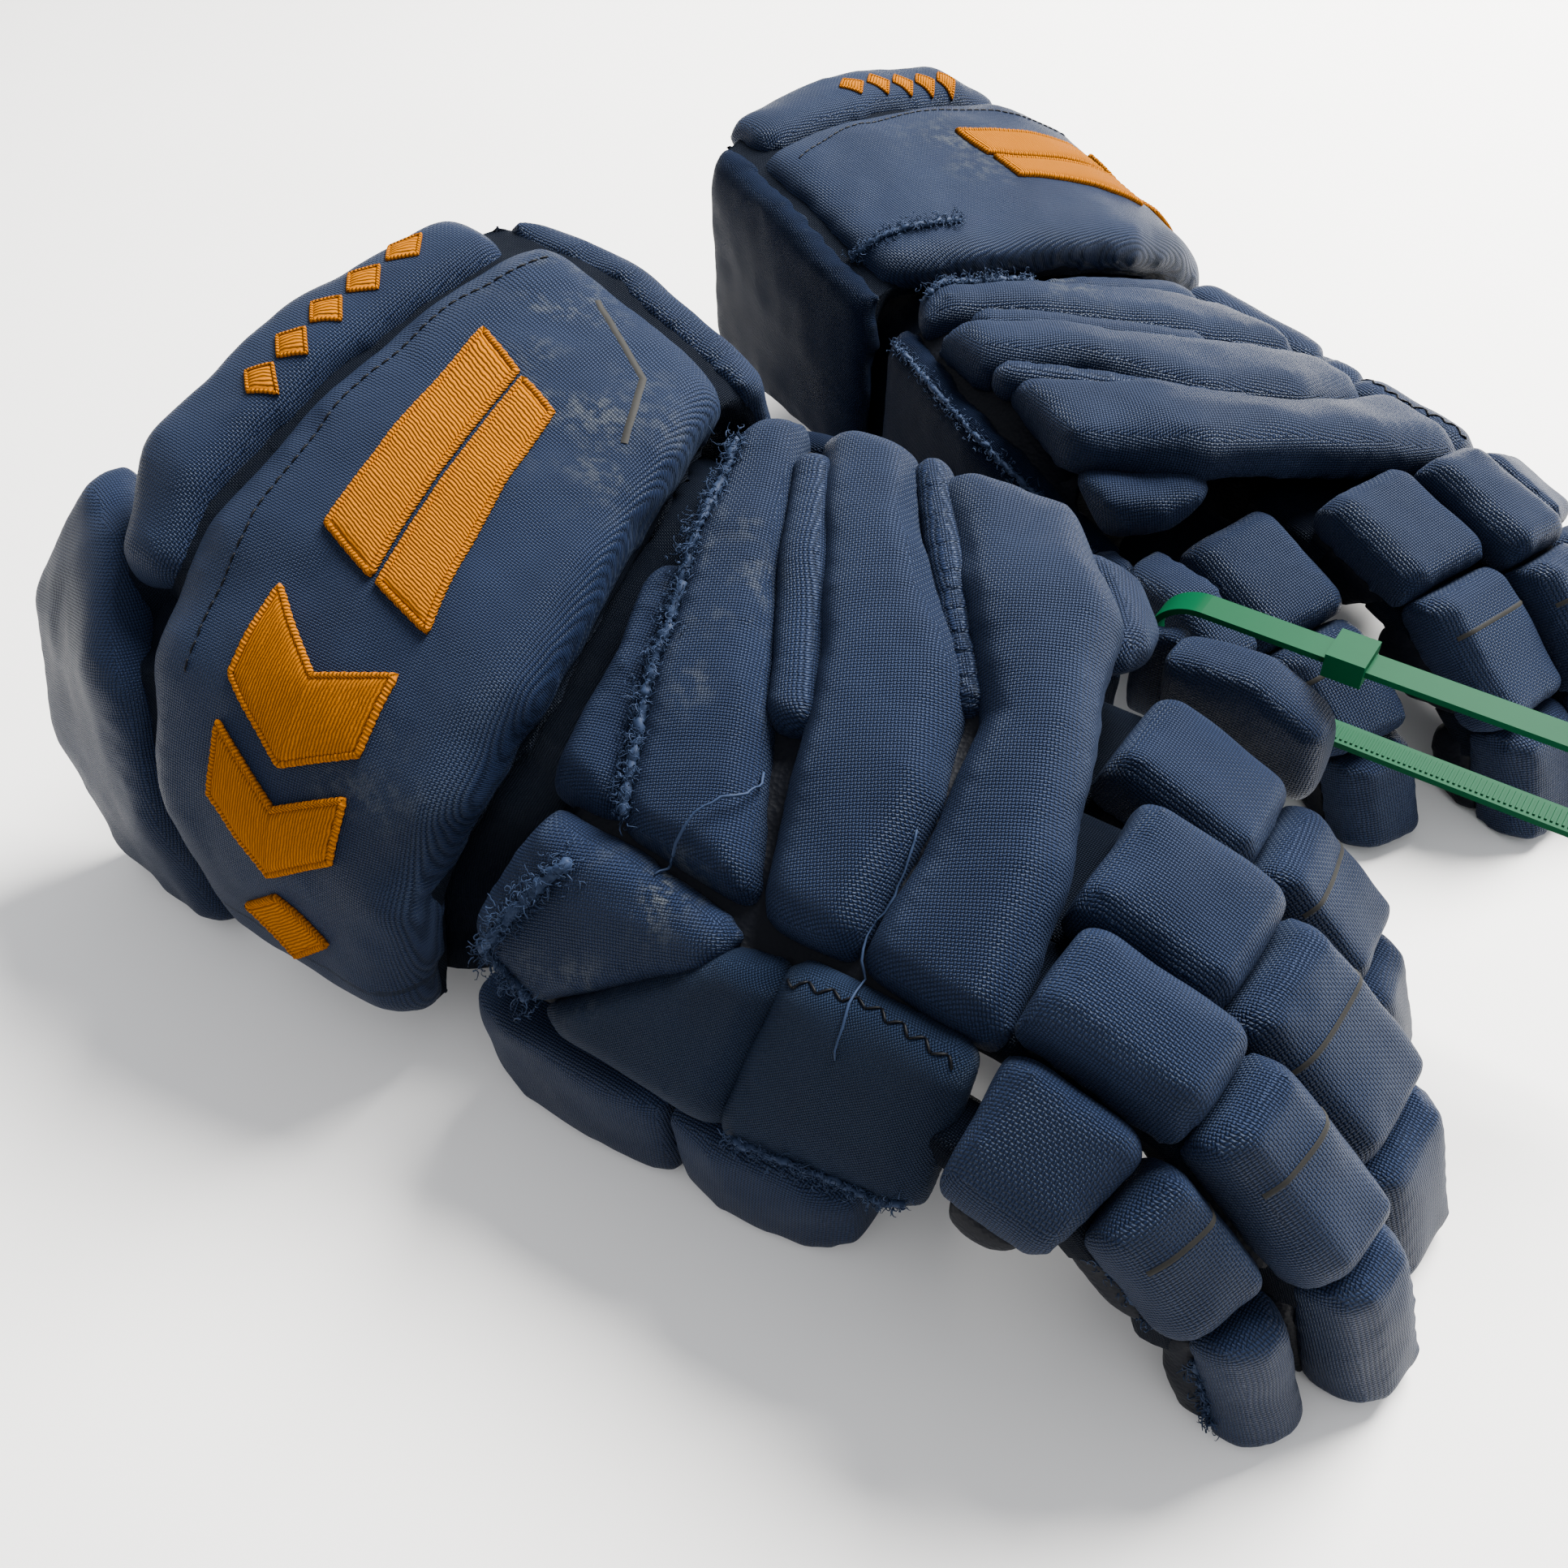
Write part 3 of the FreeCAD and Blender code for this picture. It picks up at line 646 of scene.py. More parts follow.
# Scuffed places on each glove: layout point, radius in mm and strength.
SCUFFS = [
    ("left", (-30.0, 30.0, 112.0), 30.0, 1.0),
    ("left", (-60.0, 55.0, 130.0), 26.0, 0.8),
    ("left", (-25.0, -62.0, 78.0), 22.0, 0.5),
    ("left", (30.0, 0.0, 95.0), 22.0, 0.6),
    ("left", (14.0, 20.0, 104.0), 20.0, 0.8),
    ("left", (45.0, -48.0, 74.0), 18.0, 1.2),
    ("left", (30.0, -66.0, 58.0), 16.0, 0.9),
    ("right", (-60.0, 0.0, 118.0), 30.0, 0.9),
    ("right", (10.0, 10.0, 100.0), 24.0, 0.9),
]


def ridges(mesh):
    """How strongly each vertex stands out from its neighbours."""
    co = coordinates(mesh)
    count = len(co)
    up = normals(mesh)
    ends, others = neighbours(mesh)
    bend = ((co[ends] - co[others]) * up[ends]).sum(1)
    span = np.linalg.norm(co[ends] - co[others], axis=1)
    ridge = np.bincount(ends, bend / np.maximum(span, 1e-9), count)
    return ridge / np.maximum(np.bincount(ends, minlength=count), 1)


def wear_values(mesh):
    """How worn each vertex is, from its edges and the scuffed places."""
    co = coordinates(mesh)
    wear = np.clip((ridges(mesh) - 0.10) * 3.5, 0.0, 0.6)
    for side, centre, radius, strength in SCUFFS:
        away = np.linalg.norm(co - np.array(place(side, *centre)), axis=1)
        near = np.clip(1.0 - away / (radius * MM), 0.0, 1.0)
        wear += strength * near * np.clip(0.4 + ripple(co, 0.02, 5), 0.0, 1.0)
    return np.clip(wear, 0.0, 1.5)


def finger_axes(side, finger, part):
    """Along, across and up directions of one finger segment."""
    node = f"{side}_{finger}_{part}"
    across = joint_vector(node + "_curl", "axis").normalized()
    here = joint_point(node + "_curl")
    if part == "tip":
        before = joint_point(f"{side}_{finger}_middle_curl")
        ahead = here + (here - before)
        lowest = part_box(node)[0].z
        ahead = Vector((0.5 * (here.x + ahead.x), 0.5 * (here.y + ahead.y), lowest))
    else:
        after = "middle" if part == "base" else "tip"
        ahead = joint_point(f"{side}_{finger}_{after}_curl")
    along = ahead - here
    along -= across * along.dot(across)
    along.normalize()
    up = across.cross(along)
    if up.z < 0 and part == "base":
        up = -up
    return np.array([list(along), list(across), list(up)])


# A finger pad fills out by this much (mm), and this share of it along, across
# and above its finger.
FINGER_GROWTH = 1.4
FINGER_SHARES = (0.25, 0.05, 1.0)
FINGER_VOXEL = 1.7
STALL_VOXEL = 2.4
THUMB_VOXEL = 2.4


def finger_pads(side):
    """Pad and leather stall of every finger segment."""
    pads = []
    for finger in FINGERS:
        for part in PARTS:
            node = f"{side}_{finger}_{part}"
            solids = node_solids(node)
            axes = finger_axes(side, finger, part)
            mesh = rounded(mesh_of(*solids[0]), FINGER_VOXEL, 1)
            swell(mesh, FINGER_GROWTH * MM, axes, FINGER_SHARES)
            pads.append(Pad(node + "_pad", mesh, axes, node, [node], shares=FINGER_SHARES))
            rest = [p for solid in solids[1:] for p in solid[0]]
            stall = rounded(hull_mesh(rest), STALL_VOXEL, 5)
            pads.append(Pad(node + "_stall", stall, axes, node, [],
                            material=PALM, slot="palm_leather", fill=0.4))
    return pads


# The left glove's side pad that reaches past here wears a repair patch, in metres.
PATCH_FROM = place("left", 100.0, 0.0, 0.0).x


def hand_pads(side):
    """Rolls, inserts, side pads and cuff pads of one glove."""
    pads = []
    # Node, voxel in mm, rounds of smoothing, growth in mm and look.
    plan = [
        ("wrist_roll", 2.0, 3, 2.2, {}),
        ("roll_a", 2.0, 1, 2.4, {}),
        ("roll_b", 2.0, 1, 2.4, {}),
        ("roll_c", 2.0, 1, 2.4, {}),
        ("knuckle_roll", 1.6, 2, 1.6, {}),
        ("flex_inserts", 1.0, 3, 3.4, {"top_share": 5.0}),
        ("index_side_pads", 1.8, 1, 2.4, {}),
        ("ulnar_side_pad", 2.4, 3, 1.6, {"material": SMOOTH}),
        ("cuff_roll", 3.2, 5, 1.5, {"arch": side}),
        ("cuff_rear_flap", 2.6, 4, 2.0, {}),
        ("cuff_thumb_flap", 2.6, 4, 2.0, {}),
        ("cuff_ulnar_panel", 2.6, 3, 2.0, {} if side == "left" else {"material": SMOOTH}),
    ]
    for short, voxel, rounds, growth, look in plan:
        node = f"{side}_{short}"
        for number, (points, faces) in enumerate(node_solids(node)):
            mesh = rounded(mesh_of(points, faces), voxel, rounds)
            swell(mesh, growth * MM)
            if node == "left_index_side_pads" and max(p.x for p in points) > PATCH_FROM:
                look = {"material": PATCH}
            name = node + "_pad" + (str(number + 1) if number else "")
            pads.append(Pad(name, mesh, main_axes(points), body_of(node), [node], **look))
    for part in ("thumb_base", "thumb_tip"):
        node = f"{side}_{part}"
        points = [p for solid in node_solids(node) for p in solid[0]]
        mesh = rounded(hull_mesh(points), THUMB_VOXEL, 4)
        pads.append(Pad(node + "_pad", mesh, main_axes(points), node, [node]))
    return pads


def inner_shell(side, group, nodes, voxel, reach, depth, material):
    """One closed skin that fills the creases between the pads of a body.

    The blocks are grown by reach until they merge, then drawn in by depth, in mm.
    """
    points = []
    faces = []
    for node in nodes:
        for solid_points, solid_faces in node_solids(f"{side}_{node}"):
            base = len(points)
            bm = bmesh.new()
            made = mesh_of(solid_points, solid_faces)
            bm.from_mesh(made)
            bmesh.ops.recalc_face_normals(bm, faces=bm.faces)
            bm.normal_update()
            moved = [v.co + v.normal * reach * MM * v.calc_shell_factor() for v in bm.verts]
            points += moved
            faces += [tuple(base + v.index for v in f.verts) for f in bm.faces]
            bm.free()
            bpy.data.meshes.remove(made)
    mesh = rounded(mesh_of(points, faces), voxel, 3)
    swell(mesh, -depth * MM)
    relax(mesh, 2)
    weave_map(mesh, main_axes([v.co for v in mesh.vertices]))
    unworn(mesh)
    obj = smooth_piece(f"{side}_{group}_inner_shell", mesh, material)
    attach(obj, f"{side}_{group}")
    return obj


def ring_points(centre, across, up, half_width, top, base, count=20):
    """Rounded-rectangle ring of points for a sleeve."""
    ring = []
    for i in range(count):
        angle = 2 * math.pi * i / count
        c, s = math.cos(angle), math.sin(angle)
        x = math.copysign(abs(c) ** 0.6, c) * half_width
        rise = math.copysign(abs(s) ** 0.6, s)
        z = 0.5 * (top + base) + 0.5 * (top - base) * rise
        ring.append(centre + across * x + up * z)
    return ring


def loft(name, rings, material):
    """Closed tube through rings, with a face over either end."""
    count = len(rings[0])
    points = [p for ring in rings for p in ring]
    faces = grid(len(rings), count, ring=True)
    faces.append(tuple(reversed(range(count))))
    faces.append(tuple((len(rings) - 1) * count + i for i in range(count)))
    mesh = mesh_of(points, faces)
    bm = bmesh.new()
    bm.from_mesh(mesh)
    bmesh.ops.recalc_face_normals(bm, faces=bm.faces)
    bm.to_mesh(mesh)
    bm.free()
    return smooth_piece(name, mesh, material)


SLEEVE_AHEAD = 9.0               # mm past the pin, inside the segment it serves
SLEEVE_BACK = {"base": 20.0, "middle": 9.0, "tip": 9.0}
SLEEVE_BOTTOM = -17.0            # mm from the pin
SLEEVE_BEND = 6.0                # mm either side of the pin over which it turns


def finger_sleeve(side, finger, part):
    """Knit sleeve that joins a finger segment to the one before it."""
    node = f"{side}_{finger}_{part}"
    axes = finger_axes(side, finger, part)
    along, across = Vector(axes[0]), Vector(axes[1])
    if part == "base":
        before = Vector((along.x, along.y, 0.0)).normalized()
    else:
        earlier = PARTS[PARTS.index(part) - 1]
        before = Vector(finger_axes(side, finger, earlier)[0])
    scale = side_scale(side)
    centre, half = segment_middle(node, across)
    pin = joint_point(node + "_curl")
    pin = pin + across * (centre - pin.dot(across))
    inset = 0.5
    if part == "base":
        inset = 6.0 if finger == "index" else -1.0
    half_width = half - inset * MM
    top = (-5.0 if finger == "index" or part == "base" else 0.0) * scale * MM
    base = SLEEVE_BOTTOM * scale * MM
    rings = []
    for step in np.linspace(-SLEEVE_BACK[part], SLEEVE_AHEAD, 9):
        share = min(max((step + SLEEVE_BEND) / (2 * SLEEVE_BEND), 0.0), 1.0)
        way = (before * (1 - share) + along * share).normalized()
        rise = across.cross(way)
        if rise.dot(UP_AND_FORWARD) < 0:
            rise = -rise
        at = pin + (before if step < 0 else along) * step * MM
        rings.append(ring_points(at, across, rise, half_width, top, base))
    obj = loft(node + "_sleeve", rings, GUSSET)
    weave_map(obj.data, axes)
    unworn(obj.data)
    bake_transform(obj)


# Pad tops of a drooping finger face up and forwards.
UP_AND_FORWARD = Vector((0.4, 0.0, 1.0))


def segment_middle(node, across):
    """Centre and half width of a segment along its hinge direction."""
    values = [v.co.dot(across) for v in frame["nodes"][node].data.vertices]
    return 0.5 * (min(values) + max(values)), 0.5 * (max(values) - min(values))


# Wrist tunnel outline in the glove's layout, thumb side to little-finger side.
TUNNEL_CUFF = [(-66, 20), (-63, 46), (-49, 66), (-27, 80), (4, 89), (36, 94), (66, 92),
               (76, 66), (78, 40)]
TUNNEL_HAND = [(-40, 20), (-40, 42), (-37, 52), (-25, 58), (4, 68), (36, 79), (60, 84),
               (68, 66), (68, 40)]
TUNNEL_X = [-44.0, -34.0, -24.0, -14.0, -4.0, 6.0, 16.0, 26.0]


def wrist_tunnel(side):
    """Knit tunnel between the cuff and the hand, open at both ends."""
    rings = []
    for x in TUNNEL_X:
        share = min(max((x + 20.0) / 32.0, 0.0), 1.0)
        outline = []
        for (y0, z0), (y1, z1) in zip(TUNNEL_CUFF, TUNNEL_HAND):
            outline.append((y0 + (y1 - y0) * share, z0 + (z1 - z0) * share))
        rings.append([place(side, x, y, z) for y, z in outline])
    points = [p for ring in rings for p in ring]
    mesh = subdivide(mesh_of(points, grid(len(rings), len(rings[0]))), 2)
    mesh = with_modifier(mesh, "SOLIDIFY", thickness=2.0 * MM, offset=-1.0)
    co = coordinates(mesh)
    set_coordinates(mesh, co + normals(mesh) * (ripple(co, 0.018, 3) * 0.9 * MM)[:, None])
    obj = smooth_piece(side + "_wrist_tunnel", mesh, GUSSET)
    arch_map(mesh, side)
    unworn(mesh)
    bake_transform(obj)


HAND_CORE = ("wrist_roll", "roll_a", "roll_b", "roll_c", "flex_inserts",
             "index_side_pads", "ulnar_side_pad", "hand_lining", "palm")
CUFF_CORE = ("cuff_lining", "cuff_roll", "cuff_rear_flap", "cuff_thumb_flap", "cuff_ulnar_panel")


def soft_goods():
    """Every padded piece of both gloves."""
    made = {}
    for side in SIDES:
        pads = hand_pads(side) + finger_pads(side)
        inflate([pad for pad in pads if pad.nodes])
        for pad in pads:
            made[pad.name] = finish_pad(pad)
        shell = inner_shell(side, "hand", HAND_CORE, 3.2, 3.0, 6.0, PALM)
        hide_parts(side + "_hand_lining", side + "_palm")
        shell = inner_shell(side, "cuff", CUFF_CORE, 3.0, 4.5, 6.0, LINING)
        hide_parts(side + "_cuff_lining")
        wrist_tunnel(side)
        for finger in FINGERS:
            for part in PARTS:
                finger_sleeve(side, finger, part)
    return made


# ---- Thread work ----

class Cover:
    """Finds places on a finished piece."""

    def __init__(self, side, pieces):
        self.side = side
        self.tree = BVHTree.FromPolygons(*merged([obj.data for obj in pieces])[:2])

    def round_cuff(self, x, degrees):
        """Point and normal at a distance along the cuff and an angle round its arch."""
        angle = math.radians(degrees)
        far = place(self.side, x, ARCH_Y + OUTSIDE_ARCH * math.cos(angle),
                    ARCH_Z + OUTSIDE_ARCH * math.sin(angle))
        middle = place(self.side, x, ARCH_Y, ARCH_Z)
        point, normal = self.tree.ray_cast(far, middle - far)[:2]
        if point is None:
            point, normal = middle, (far - middle).normalized()
        return point, normal

    def nearest(self, x, y, z):
        """Point and normal nearest to a layout point."""
        return self.tree.find_nearest(place(self.side, x, y, z))[:2]


class Sewn:
    """Points, faces and thread coordinates of one piece of thread work."""

    def __init__(self):
        self.points = []
        self.faces = []
        self.uv = []

    def tube(self, path, radii, sides=6, twist=0.0, closed=False):
        """Round thread through points; radii is one number per point, in metres."""
        count = len(path)
        base = len(self.points)
        run = 0.0
        helper = Vector((0.31, 0.17, 0.93))
        for i, (point, radius) in enumerate(zip(path, radii)):
            before = path[i - 1] if i or closed else point
            after = path[(i + 1) % count] if i < count - 1 or closed else point
            way = (after - before).normalized()
            first = way.cross(helper).normalized()
            second = way.cross(first)
            run += (point - path[i - 1]).length / MM if i else 0.0
            for k in range(sides):
                angle = 2 * math.pi * k / sides
                self.points.append(point + (first * math.cos(angle) + second * math.sin(angle)) * radius)
                self.uv.append((run + twist * k / sides, 0.0))
        for i in range(count if closed else count - 1):
            j = (i + 1) % count
            for k in range(sides):
                m = (k + 1) % sides
                self.faces.append((base + i * sides + k, base + j * sides + k,
                                   base + j * sides + m, base + i * sides + m))
        if not closed:
            self.faces.append(tuple(range(base, base + sides)))
            self.faces.append(tuple(base + (count - 1) * sides + k for k in reversed(range(sides))))

    def satin(self, place_at, corners, raised, joined=None):
        """Field of satin stitch between four corners, raised in mm.

        It is level along a joined edge and rounded down at the others.
        """
        length, width = flat_length(*corners[:2]), flat_length(*corners[1:3])
        rows = max(int(length / STITCH_STEP), 4)
        columns = max(int(width / STITCH_STEP), 4)
        base = len(self.points)
        for i in range(rows + 1):
            u = i / rows
            for j in range(columns + 1):
                v = j / columns
                at = []
                for c0, c1, c2, c3 in zip(*corners):
                    near = c0 * (1 - u) * (1 - v) + c1 * u * (1 - v)
                    at.append(near + (c2 * u * v + c3 * (1 - u) * v))
                gaps = {"start": u * length, "end": (1 - u) * length,
                        "low": v * width, "high": (1 - v) * width}
                nearest = min(gap for edge, gap in gaps.items() if edge != joined)
                rise = raised * (1.0 - math.exp(-nearest / 0.9)) + 0.12
                point, normal = place_at(*at)
                self.points.append(point + normal * rise * MM)
                self.uv.append((u * length, v * width))
        self.faces += grid(rows + 1, columns + 1, base, flip=True)

    def piece(self, name, body, material):
        """The finished object, riding on a body."""
        mesh = mesh_of(self.points, self.faces)
        lay_map(mesh, np.array(self.uv)[corners_of(mesh)])
        obj = smooth_piece(name, mesh, material)
        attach(obj, body)
        return obj


# Embroidery on the cuff, as corners (x, degrees round the arch): plain slanted
# bars, two chevrons of two fields each, and a lozenge.
SHAPES = [
    [[(-66, 68), (-62, 104), (-46, 107.5), (-52, 69.5)]],
    [[(-49, 70), (-43, 108), (-27, 111), (-38, 71)]],
    [[(-64, 116), (-46, 126), (-46, 141), (-64, 131)], [(-46, 126), (-28, 120), (-28, 134), (-46, 141)]],
    [[(-64, 139), (-46, 149), (-46, 161), (-64, 151)], [(-46, 149), (-28, 142), (-28, 153), (-46, 161)]],
    [[(-46, 166), (-32, 172), (-46, 181), (-60, 174)]],
]
# How far round the arch each glove's embroidery is turned; the right glove's
# starts over the crown and leaves no room for the last lozenge.
EMBROIDERY_TURN = {"left": 0.0, "right": 20.0}
LOZENGE_X = -103.0
LOZENGE_ANGLES = [64.0, 70.5, 77.0, 83.5, 90.0]
LOZENGE_TURN = 0.7       # the lozenges' share of the embroidery's turn
STITCH_STEP = 0.9        # mm between points of a satin field
BORDER_STEP = 0.8        # mm between points of a border cord


def flat_length(a, b):
    """Length in mm between two places on the cuff's arch."""
    return math.hypot(b[0] - a[0], (b[1] - a[1]) * ARCH_MM)


def walk(outline, step):
    """Evenly spaced places round a closed outline on the arch."""
    found = []
    for a, b in zip(outline, outline[1:] + outline[:1]):
        count = max(int(flat_length(a, b) / step), 1)
        for i in range(count):
            share = i / count
            found.append((a[0] + (b[0] - a[0]) * share, a[1] + (b[1] - a[1]) * share))
    return found


def corded(border, cover, outline, lift, radii, sides):
    """Adds a cord round a closed outline; radii gives its mm at each point."""
    path = []
    for x, degrees in walk(outline, BORDER_STEP):
        point, normal = cover.round_cuff(x, degrees)
        path.append(point + normal * lift * MM)
    border.tube(path, [radii(i) * MM for i in range(len(path))], sides, 1.1, closed=True)


def embroidery(side, cover, flap):
    """Raised gold fields with corded borders on the cuff, lozenges on its flap."""
    turn = EMBROIDERY_TURN[side]
    fill, border = Sewn(), Sewn()
    for fields in SHAPES if side == "left" else SHAPES[:-1]:
        fields = [[(x, degrees + turn) for x, degrees in corners] for corners in fields]
        first, last = fields[0], fields[-1]
        if first is last:
            fill.satin(cover.round_cuff, first, 1.5)
            outline = first
        else:
            fill.satin(cover.round_cuff, first, 1.5, "end")
            fill.satin(cover.round_cuff, last, 1.5, "start")
            outline = first[:2] + last[1:3] + first[2:]
        corded(border, cover, outline, 0.55, lambda i: 0.95 + 0.12 * math.sin(i * 2.1), 7)
    fill.piece(side + "_cuff_embroidery", side + "_cuff", GOLD)
    border.piece(side + "_cuff_embroidery_border", side + "_cuff", GOLD_EDGE)
    fill, border = Sewn(), Sewn()
    for middle in LOZENGE_ANGLES:
        middle += LOZENGE_TURN * turn
        outline = [(LOZENGE_X, middle - 2.6), (LOZENGE_X + 5.0, middle),
                   (LOZENGE_X, middle + 2.6), (LOZENGE_X - 5.0, middle)]
        fill.satin(flap.round_cuff, outline, 0.9)
        corded(border, flap, outline, 0.3, lambda i: 0.55, 6)
    fill.piece(side + "_flap_embroidery", side + "_cuff", GOLD)
    border.piece(side + "_flap_embroidery_border", side + "_cuff", GOLD_EDGE)


def along_path(points, step):
    """Evenly spaced layout points along a path."""
    found = []
    for a, b in zip(points[:-1], points[1:]):
        a, b = Vector(a), Vector(b)
        count = max(int((b - a).length / step), 1)
        found += [a.lerp(b, i / count) for i in range(count)]
    return found + [Vector(points[-1])]


def scatter(rng, spread):
    """Random vector, normal with the given spread."""
    return Vector([rng.gauss(0, spread) for _ in range(3)])


def fray(name, body, cover, path, thick, density, length):
    """Worn edge: a fuzzy cord of broken fibres with loose ends."""
    rng = random.Random(sum(ord(c) for c in name))
    work = Sewn()
    line = [cover.nearest(*at) for at in along_path(path, 0.9)]
    core = [p + n * thick * 0.35 * MM + scatter(rng, 0.25) * MM for p, n in line]
    work.tube(core, [thick * rng.uniform(0.35, 0.75) * MM for _ in core])
    for point, normal in line:
        for _ in range(density):
            at = point + scatter(rng, 0.75 * thick) * MM
            way = (normal * rng.uniform(0.1, 1.0) + scatter(rng, 0.9)).normalized()
            curl = scatter(rng, 1.0)
            reach = length * rng.uniform(0.4, 1.2) * MM
            fibre = []
            for _ in range(6):
                fibre.append(at)
                at = at + way * reach / 5.0
                way = (way + curl.cross(way) * 0.55 + scatter(rng, 0.22)).normalized()
            width = rng.uniform(0.13, 0.24)
            work.tube(fibre, [width * (1.0 - 0.12 * k) * MM for k in range(6)], 3)
    work.piece(name, body, FRAY)


def loose_thread(name, body, cover, start, end, bow, radius):
    """One pulled thread lying over the pads."""
    rng = random.Random(len(name) * 13)
    work = Sewn()
    path = []
    a, b = Vector(start), Vector(end)
    for i in range(25):
        share = i / 24.0
        point, normal = cover.nearest(*a.lerp(b, share))
        lift = (radius + bow * math.sin(math.pi * share)) * MM
        path.append(point + normal * lift + scatter(rng, 0.12) * MM)
    work.tube(path, [radius * (1.0 + 0.2 * math.sin(i)) * MM for i in range(25)], 5, 0.8)
    work.piece(name, body, FRAY)


def stitches(name, body, cover, path, pitch, length, radius, zigzag):
    """Row of separate stitches along a seam."""
    work = Sewn()
    places = along_path(path, pitch)
    for i, (a, b) in enumerate(zip(places[:-1], places[1:])):
        way = (b - a).normalized()
        across = Vector((0, 0, 1)).cross(way).normalized() * zigzag
        first = a - across if i % 2 else a + across
        last = first + (b - a) * length + across * (2.0 if i % 2 else -2.0)
        thread = []
        for share in (0.0, 0.25, 0.5, 0.75, 1.0):
            point, normal = cover.nearest(*first.lerp(last, share))
            thread.append(point + normal * radius * (0.9 * math.sin(math.pi * share)) * MM)
        work.tube(thread, [radius * MM] * 5, 5)
    work.piece(name, body, STITCH)


TAPE_STEP = 1.2          # mm between rows of points
TAPE_SHARES = (-0.5, -0.25, 0.0, 0.25, 0.5)


def tape(name, side, body, cover, path, width):
    """Thin printed strip following a piece's surface, its edges tucked under."""
    work = Sewn()
    rows = along_path(path, TAPE_STEP)
    for i, at in enumerate(rows):
        ahead = rows[min(i + 1, len(rows) - 1)]
        behind = rows[max(i - 1, 0)]
        point, normal = cover.nearest(*at)
        way = (place(side, *ahead) - place(side, *behind)).normalized()
        across = normal.cross(way).normalized()
        for share in TAPE_SHARES:
            on, facing = cover.tree.find_nearest(point + across * share * width * MM)[:2]
            work.points.append(on + facing * (0.22 if abs(share) < 0.5 else -0.1) * MM)
            work.uv.append((i * TAPE_STEP, share * width))
    work.faces = grid(len(rows), len(TAPE_SHARES))
    work.piece(name, body, STRIPE)


# ---- Room ----

def camera():
    """Camera at the viewing angle of the pair on its table."""
    a, e = math.radians(CAMERA_AZIMUTH), math.radians(CAMERA_ELEVATION)
    back = Vector((math.sin(a) * math.cos(e), -math.cos(a) * math.cos(e), math.sin(e)))
    right = (-back).cross(Vector((0, 0, 1))).normalized()
    up = right.cross(-back)
    roll = math.radians(CAMERA_ROLL)
    turned = right * math.cos(roll) + up * math.sin(roll)
    raised = -right * math.sin(roll) + up * math.cos(roll)
    data = bpy.data.cameras.new("camera")
    data.lens = CAMERA_LENS
    data.sensor_width = 36.0
    data.clip_start = 0.01
    obj = link("camera", data)
    turn = Matrix((turned, raised, back)).transposed().to_4x4()
    obj.matrix_world = Matrix.Translation(CAMERA_TARGET + back * CAMERA_DISTANCE) @ turn
    bpy.context.scene.camera = obj


def area_light(name, position, target, size, power, colour):
    data = bpy.data.lights.new(name, "AREA")
    data.shape = "DISK"
    data.size = size
    data.energy = power
    data.color = colour
    obj = link(name, data)
    obj.location = position
    way = Vector(target) - Vector(position)
    obj.rotation_euler = way.to_track_quat("-Z", "Y").to_euler()


def room():
    """Pale table top, soft overhead light and a pale surround."""
    mesh = mesh_of([(-3, -3, 0), (3, -3, 0), (3, 3, 0), (-3, 3, 0)], [(0, 1, 2, 3)])
    n = Nodes("pale_table")
    tone = n.mix(n.noise(n.place_in(), 6.0, 3.0), (0.84, 0.825, 0.80), (0.90, 0.89, 0.87))
    n.surface({"Base Color": tone, "Roughness": 0.55, "Specular IOR Level": 0.25})
    mesh.materials.append(n.material)
    floor = link("table_top", mesh)
    floor.location.z = TABLE_Z
    world = bpy.data.worlds.new("surround")
    bpy.context.scene.world = world
    world.use_nodes = True
    sky = world.node_tree.nodes["Background"].inputs
    sky[0].default_value = (0.93, 0.95, 1.0, 1.0)
    sky[1].default_value = WORLD_STRENGTH
    area_light("key", (0.16, 0.98, 1.18), (0, -0.05, 0.03), 0.85, KEY_POWER, (1.0, 0.985, 0.96))
    area_light("fill", (0.9, -0.6, 1.0), (0, -0.1, 0.05), 1.2, FILL_POWER, (0.95, 0.97, 1.0))


# ---- Trim ----

SIDE_PADS = ["index_side_pads_pad", "index_side_pads_pad2", "index_side_pads_pad3"]

# Worn edges: side, name, body, pads, path, thickness in mm, fibres per step and
# their length in mm.
FRAYS = [
    ("left", "roll_a_fray", "hand", ["roll_a_pad"],
     [(30, -37, 80), (16, -8, 93), (4, 26, 104), (-4, 52, 109)], 2.3, 16, 3.6),
    ("left", "side_pad_fray", "hand", SIDE_PADS[:1],
     [(25, -50, 73), (19, -57, 66), (15, -63, 60), (9, -69, 52), (14, -71, 50), (24, -72, 49)],
     2.4, 16, 3.8),
    ("left", "patch_fray", "hand", SIDE_PADS,
     [(80, -73, 44), (98, -71, 45), (118, -67, 46)], 1.4, 12, 2.8),
    ("left", "index_fray", "index_tip", ["index_tip_pad"],
     [(166, -57, 22), (172, -57, 15), (178, -56, 8), (184, -54, 3)], 1.3, 10, 3.0),
    ("left", "index_middle_fray", "index_middle", ["index_middle_pad"],
     [(148, -58, 42), (156, -58, 33), (163, -57, 25)], 1.1, 8, 2.4),
    ("right", "cuff_fray", "cuff", ["cuff_roll_pad"],
     [(-24, 34, 112), (-28, 52, 117), (-34, 72, 112)], 1.6, 12, 3.0),
    ("right", "roll_a_fray", "hand", ["roll_a_pad"],
     [(4, 26, 104), (-4, 50, 110), (-4, 62, 108)], 2.0, 14, 3.4),
    ("right", "ulnar_fray", "hand", ["ulnar_side_pad_pad"],
     [(-2, 80, 98), (45, 86, 91), (88, 77, 67)], 1.4, 8, 2.6),
]

